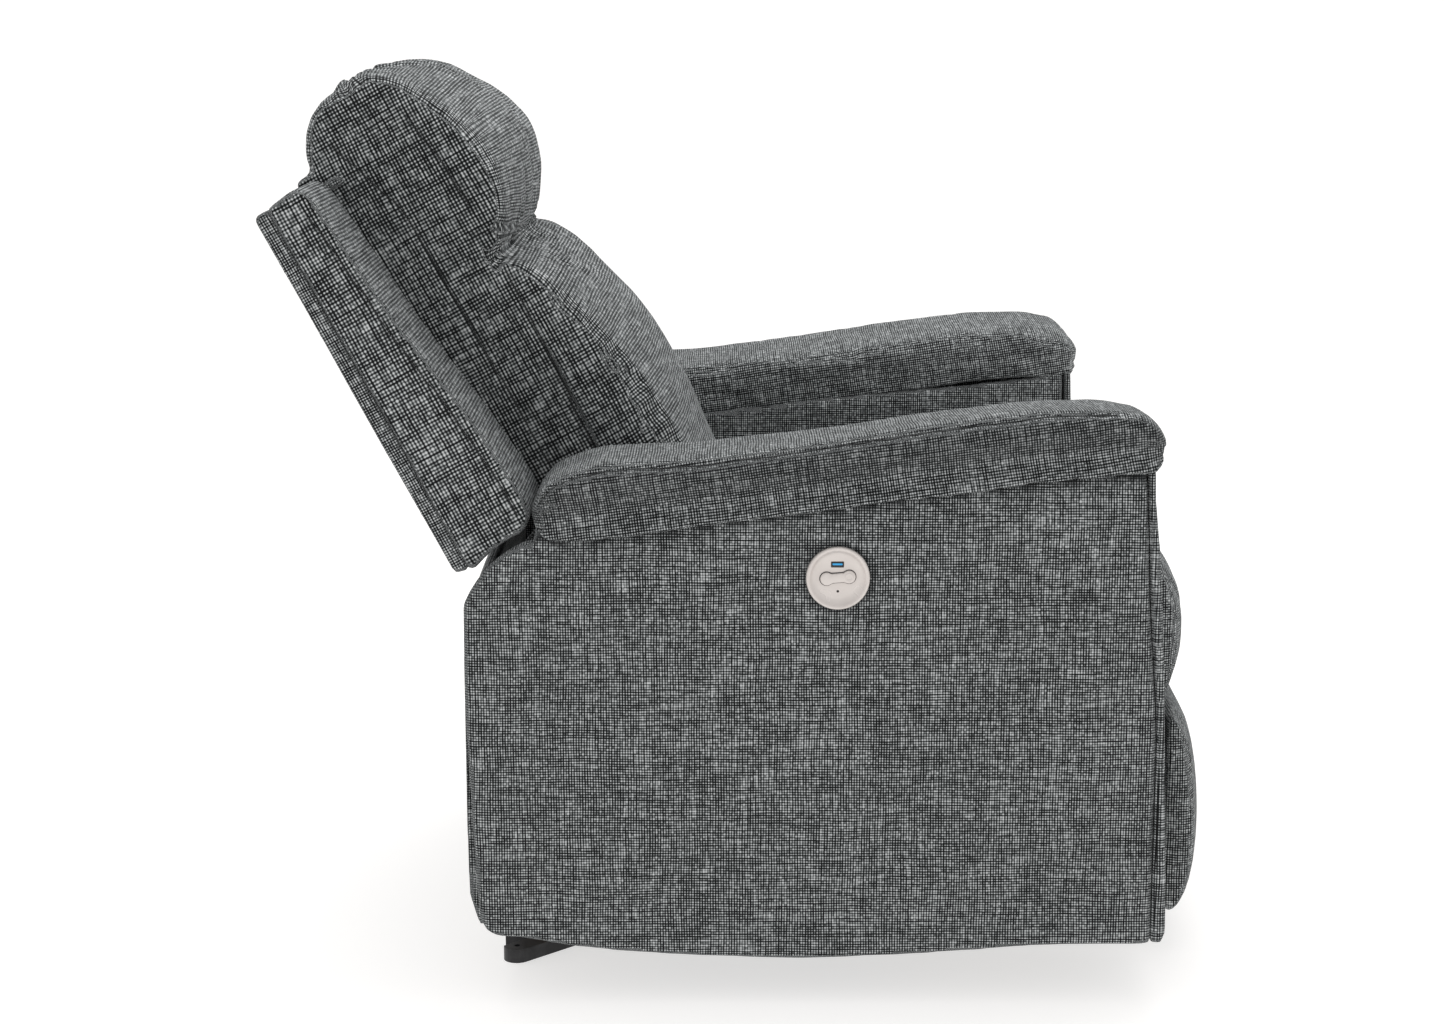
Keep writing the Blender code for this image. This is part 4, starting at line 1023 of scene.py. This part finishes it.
def pad_out_back(piece):
    """Wadding under the outer back's fabric, which carries it a little further to the rear."""
    points = points_of(piece.data)
    _, forward = back_axes(points)
    wadding = np.clip((-0.060 - forward) / 0.006, 0, 1) * BACK_WADDING
    points[:, 1] += wadding * math.cos(BACK_LEAN)
    points[:, 2] -= wadding * math.sin(BACK_LEAN)
    set_points(piece.data, points)


def build_panel(node, body, depth, seed, angle=0.0, shape=None):
    piece = panel_cover(node)
    if shape:
        shape(piece)
    rumple(piece, depth, PANEL_WAVE, seed)
    lay_flat_threads(piece, angle)
    return dress(piece, FABRIC, body, (node,))


def press_round_control(piece):
    """The fabric drawn in where the control's bezel bears on it, with a ring of painted shade round the
    bezel.
    """
    mesh = piece.data
    points = points_of(mesh)
    away = np.hypot(points[:, 1] - CONTROL[1], points[:, 2] - CONTROL[2]) - BEZEL_RADIUS
    outer = points[:, 0] < -0.43
    points[:, 0] += 0.0016 * np.exp(-(np.maximum(away, 0) / 0.007) ** 2) * outer
    set_points(mesh, points)
    paint_shade(mesh, 0.60 * np.exp(-(np.maximum(away, 0) / 0.0042) ** 2) * outer)


def ripple_front(piece, side):
    """The slight fullness of the side panel along its front seam."""
    points = points_of(piece.data)
    reach = np.exp(-((points[:, 1] + 0.408) / 0.012) ** 2)
    wave = np.sin(points[:, 2] * 41) * 0.5 + np.sin(points[:, 2] * 97 + 1.3) * 0.5
    outer = (np.abs(points[:, 0]) > 0.43).astype(float)
    points[:, 0] += side * outer * reach * 0.0011 * wave
    set_points(piece.data, points)


def tuck_line(piece, side):
    """The line where the side panel goes in under the arm pad's lower edge, pressed in a little and darkened
    with painted shadow.
    """
    rows = arm_stations()
    run = np.linspace(rows[0, 0] - 0.006, rows[-2, 0], 30)
    path = [(side * 0.4405, y, z - 0.0052) for y, z in zip(run, at_station(rows, run, 3))]
    return crease(piece, path, width=0.0050, depth=0.0020, shade=0.85, ridge=0)


def build_side_panels():
    for name, side in (("left", 1), ("right", -1)):
        node = f"side_panel_{name}"
        piece = panel_cover(node)
        tuck_under_pad(piece)
        rumple(piece, 0.0008, PANEL_WAVE, 41)
        ripple_front(piece, side)
        tucked = tuck_line(piece, side)
        if side < 0:
            press_round_control(piece)
        lay_flat_threads(piece)
        # painted shadow: dark cords laid along the tuck line deepen the shadow under the arm pad's lip
        finish_seams(f"side_panel_{name}_seam", piece, [tucked], "chassis")
        dress(piece, FABRIC, "chassis", (node,))


def build_panels():
    build_side_panels()
    for side in ("left", "right"):
        build_panel(f"arm_front_{side}", "chassis", 0.0005, 42, shape=tuck_under_pad)
        build_panel(f"inner_arm_panel_{side}", "chassis", 0.0005, 43, shape=tuck_under_pad)
    build_panel("rear_panel", "chassis", 0.0008, 44, shape=draw_in_rear)
    build_panel("back_outer_panel", "back", 0.0006, 45, angle=-BACK_LEAN, shape=pad_out_back)
    build_panel("filler_pad", "footrest_front_links", 0.0008, 46)
    build_panel("footrest_board", "footrest", 0.0003, 47)


# --- the control ---

CONTROL = (-0.4405, -0.082, 0.484)  # the middle of the bezel, on the side panel's face
BEZEL_RADIUS = 0.0345
# The bezel's section, as (radius, distance out from the panel): a raised rim round a shallow dish
BEZEL_SECTION = ((0.0345, -0.0006), (0.0345, 0.0038), (0.0342, 0.0052), (0.0334, 0.0061), (0.0323, 0.0064),
                 (0.0312, 0.0061), (0.0302, 0.0053), (0.0288, 0.0038), (0.0271, 0.0023), (0.0252, 0.0013),
                 (0.0228, 0.0009), (0.0, 0.0008), (0.0, -0.0006))
DISH_OUT = 0.0008  # how far the dish's floor stands out from the panel
DIMPLE_SECTION = ((0.0046, -0.0003), (0.0045, 0.0002), (0.0040, 0.0005), (0.0034, 0.0004), (0.0026, 0.0001),
                  (0.0014, -0.0001), (0.0, -0.0001), (0.0, -0.0003))
HOLE_SECTION = ((0.0014, -0.0002), (0.0014, 0.0001), (0.0, 0.0001), (0.0, -0.0002))
SWITCH_TILT = math.radians(5)  # how far the switch's long axis is turned
SWITCH_REACH = 0.0121  # from the switch's middle to the middle of each round end
SWITCH_LAYERS = ((1.0, -0.0002), (1.0, 0.0020), (0.98, 0.0028), (0.93, 0.0033), (0.80, 0.0035))
SLOT_LAYERS = ((1, -0.0004), (1, 0.0003))
PORT_LAYERS = ((1, -0.0004), (1, 0.0004))
TONGUE_LAYERS = ((1, 0.0002), (1, 0.0008))
TRIM_EDGE = 0.00018
PORT_HEIGHT, HOLE_HEIGHT = 0.4985, 0.4690


def lathe(name, section, middle, steps=96):
    """A solid of revolution about the X axis, growing towards the near side."""
    inner = [(r, out) for r, out in section if r > 0]
    points = [(middle[0] - out, middle[1] + r * math.cos(turn), middle[2] + r * math.sin(turn))
              for turn in np.linspace(0, 2 * math.pi, steps, endpoint=False) for r, out in inner]
    count = len(inner)
    faces = []
    for step in range(steps):
        for k in range(count - 1):
            a, b = step * count + k, (step + 1) % steps * count + k
            faces.append((a, a + 1, b + 1, b))
    faces.append(tuple(step * count for step in range(steps)))
    faces.append(tuple(step * count + count - 1 for step in reversed(range(steps))))
    return solid_piece(name, points, faces)


def dog_bone(grow=0.0, steps=14):
    """The rocker's outline: two round ends joined by a narrower waist, as (forward, up) points."""
    reach, radius, waist = SWITCH_REACH, 0.0071 + grow, 0.0050 + grow
    outline = []
    for turn in np.linspace(-2.2, 2.2, steps):
        outline.append((reach + radius * math.cos(turn), radius * math.sin(turn)))
    for across in np.linspace(0.6, -0.6, 5):
        outline.append((reach * across, waist + 0.0006 * across * across))
    for turn in np.linspace(math.pi - 2.2, math.pi + 2.2, steps):
        outline.append((-reach + radius * math.cos(turn), radius * math.sin(turn)))
    for across in np.linspace(-0.6, 0.6, 5):
        outline.append((reach * across, -waist - 0.0006 * across * across))
    return outline


def outline_solid(name, outline, middle, layers, tilt=0.0):
    """An outline drawn on the control's face and built out in layers, as (inset share, distance out)."""
    cos, sin = math.cos(tilt), math.sin(tilt)
    points, count = [], len(outline)
    for share, out in layers:
        for forward, up in outline:
            p, q = forward * share, up * share
            points.append((middle[0] - out, middle[1] - (p * cos - q * sin), middle[2] + p * sin + q * cos))
    caps = [tuple(reversed(range(count))), tuple(range(len(points) - count, len(points)))]
    return solid_piece(name, points, ring_faces(len(layers), count) + caps)


def box_outline(half_wide, half_high, corner=0.0005):
    return [(x * half_wide - sx * corner, z * half_high - sz * corner)
            for x, z, sx, sz in ((1, -1, 0, -1), (1, 1, 0, 1), (1, 1, 1, 0), (-1, 1, -1, 0), (-1, 1, 0, 1),
                                 (-1, -1, 0, -1), (-1, -1, -1, 0), (1, -1, 1, 0))]


def finish_trim(piece, look, body, nodes=()):
    lay_flat_threads(piece)
    dress(piece, look, body, nodes)
    piece.data.shade_flat()
    modify(piece, "BEVEL", width=TRIM_EDGE, segments=2, limit_method="ANGLE")
    piece.data.shade_smooth()


def build_control():
    """The side control: bezel, rocker switch in a black ring of painted shade for its slot, charging port,
    and a black disc of painted shade for the reset hole.
    """
    bezel = lathe("control_bezel_trim", BEZEL_SECTION, CONTROL)
    dress(bezel, CHAMPAGNE, "chassis", ("control_bezel",))
    middle = (CONTROL[0] - DISH_OUT, CONTROL[1], CONTROL[2])
    # painted shade: the black ring round the rocker stands for the shade in the gap between switch and bezel
    slot = outline_solid("control_switch_slot", dog_bone(0.0009), middle, SLOT_LAYERS, SWITCH_TILT)
    finish_trim(slot, BLACK, "chassis")
    switch = outline_solid("control_rocker", dog_bone(), middle, SWITCH_LAYERS, SWITCH_TILT)
    dress(switch, CHAMPAGNE, "rocker_switch", ("rocker_switch",))
    dimple_middle = (middle[0] - SWITCH_LAYERS[-1][1], middle[1] - SWITCH_REACH * math.cos(SWITCH_TILT),
                     middle[2] + SWITCH_REACH * math.sin(SWITCH_TILT))
    dimple = lathe("control_rocker_dimple", DIMPLE_SECTION, dimple_middle, 40)
    dress(dimple, CHAMPAGNE, "rocker_switch", ())
    port_at = (middle[0], middle[1] + 0.0005, PORT_HEIGHT)
    port = outline_solid("control_usb_frame", box_outline(0.0070, 0.0033), port_at, PORT_LAYERS)
    finish_trim(port, BLACK, "chassis", ("usb_port",))
    tongue_at = (port_at[0], port_at[1], PORT_HEIGHT + 0.0003)
    tongue = outline_solid("control_usb_tongue", box_outline(0.0054, 0.0010), tongue_at, TONGUE_LAYERS)
    finish_trim(tongue, BLUE, "chassis")
    # painted shade: a black disc stands for the shade inside the reset hole
    hole = lathe("control_reset_hole", HOLE_SECTION, (middle[0], middle[1], HOLE_HEIGHT), 20)
    dress(hole, BLACK, "chassis", ())


# --- carried-over CAD nodes --------------------------------------------------------------------------------

LOOK_OF_SLOT = {
    "black_steel": STEEL, "zinc_steel": ZINC, "rail_steel": RAIL_STEEL, "timber": TIMBER,
    "champagne_plastic": CHAMPAGNE, "black_plastic": BLACK, "cushion_fabric": FABRIC, "panel_fabric": FABRIC,
}


def finish_frame():
    """A better look on every CAD node that stays."""
    slots = {part["node"]: part["material_slot"] for part in frame["record"]["subparts"]}
    for name, piece in NODES.items():
        look = LOOK_OF_SLOT[slots[name]]
        piece.data.materials.clear()
        piece.data.materials.append(look)


build_stage()
build_back_cushion()
build_seat_cushion()
build_footrest_pad()
build_arm_pads()
build_wings()
build_panels()
build_control()
finish_frame()
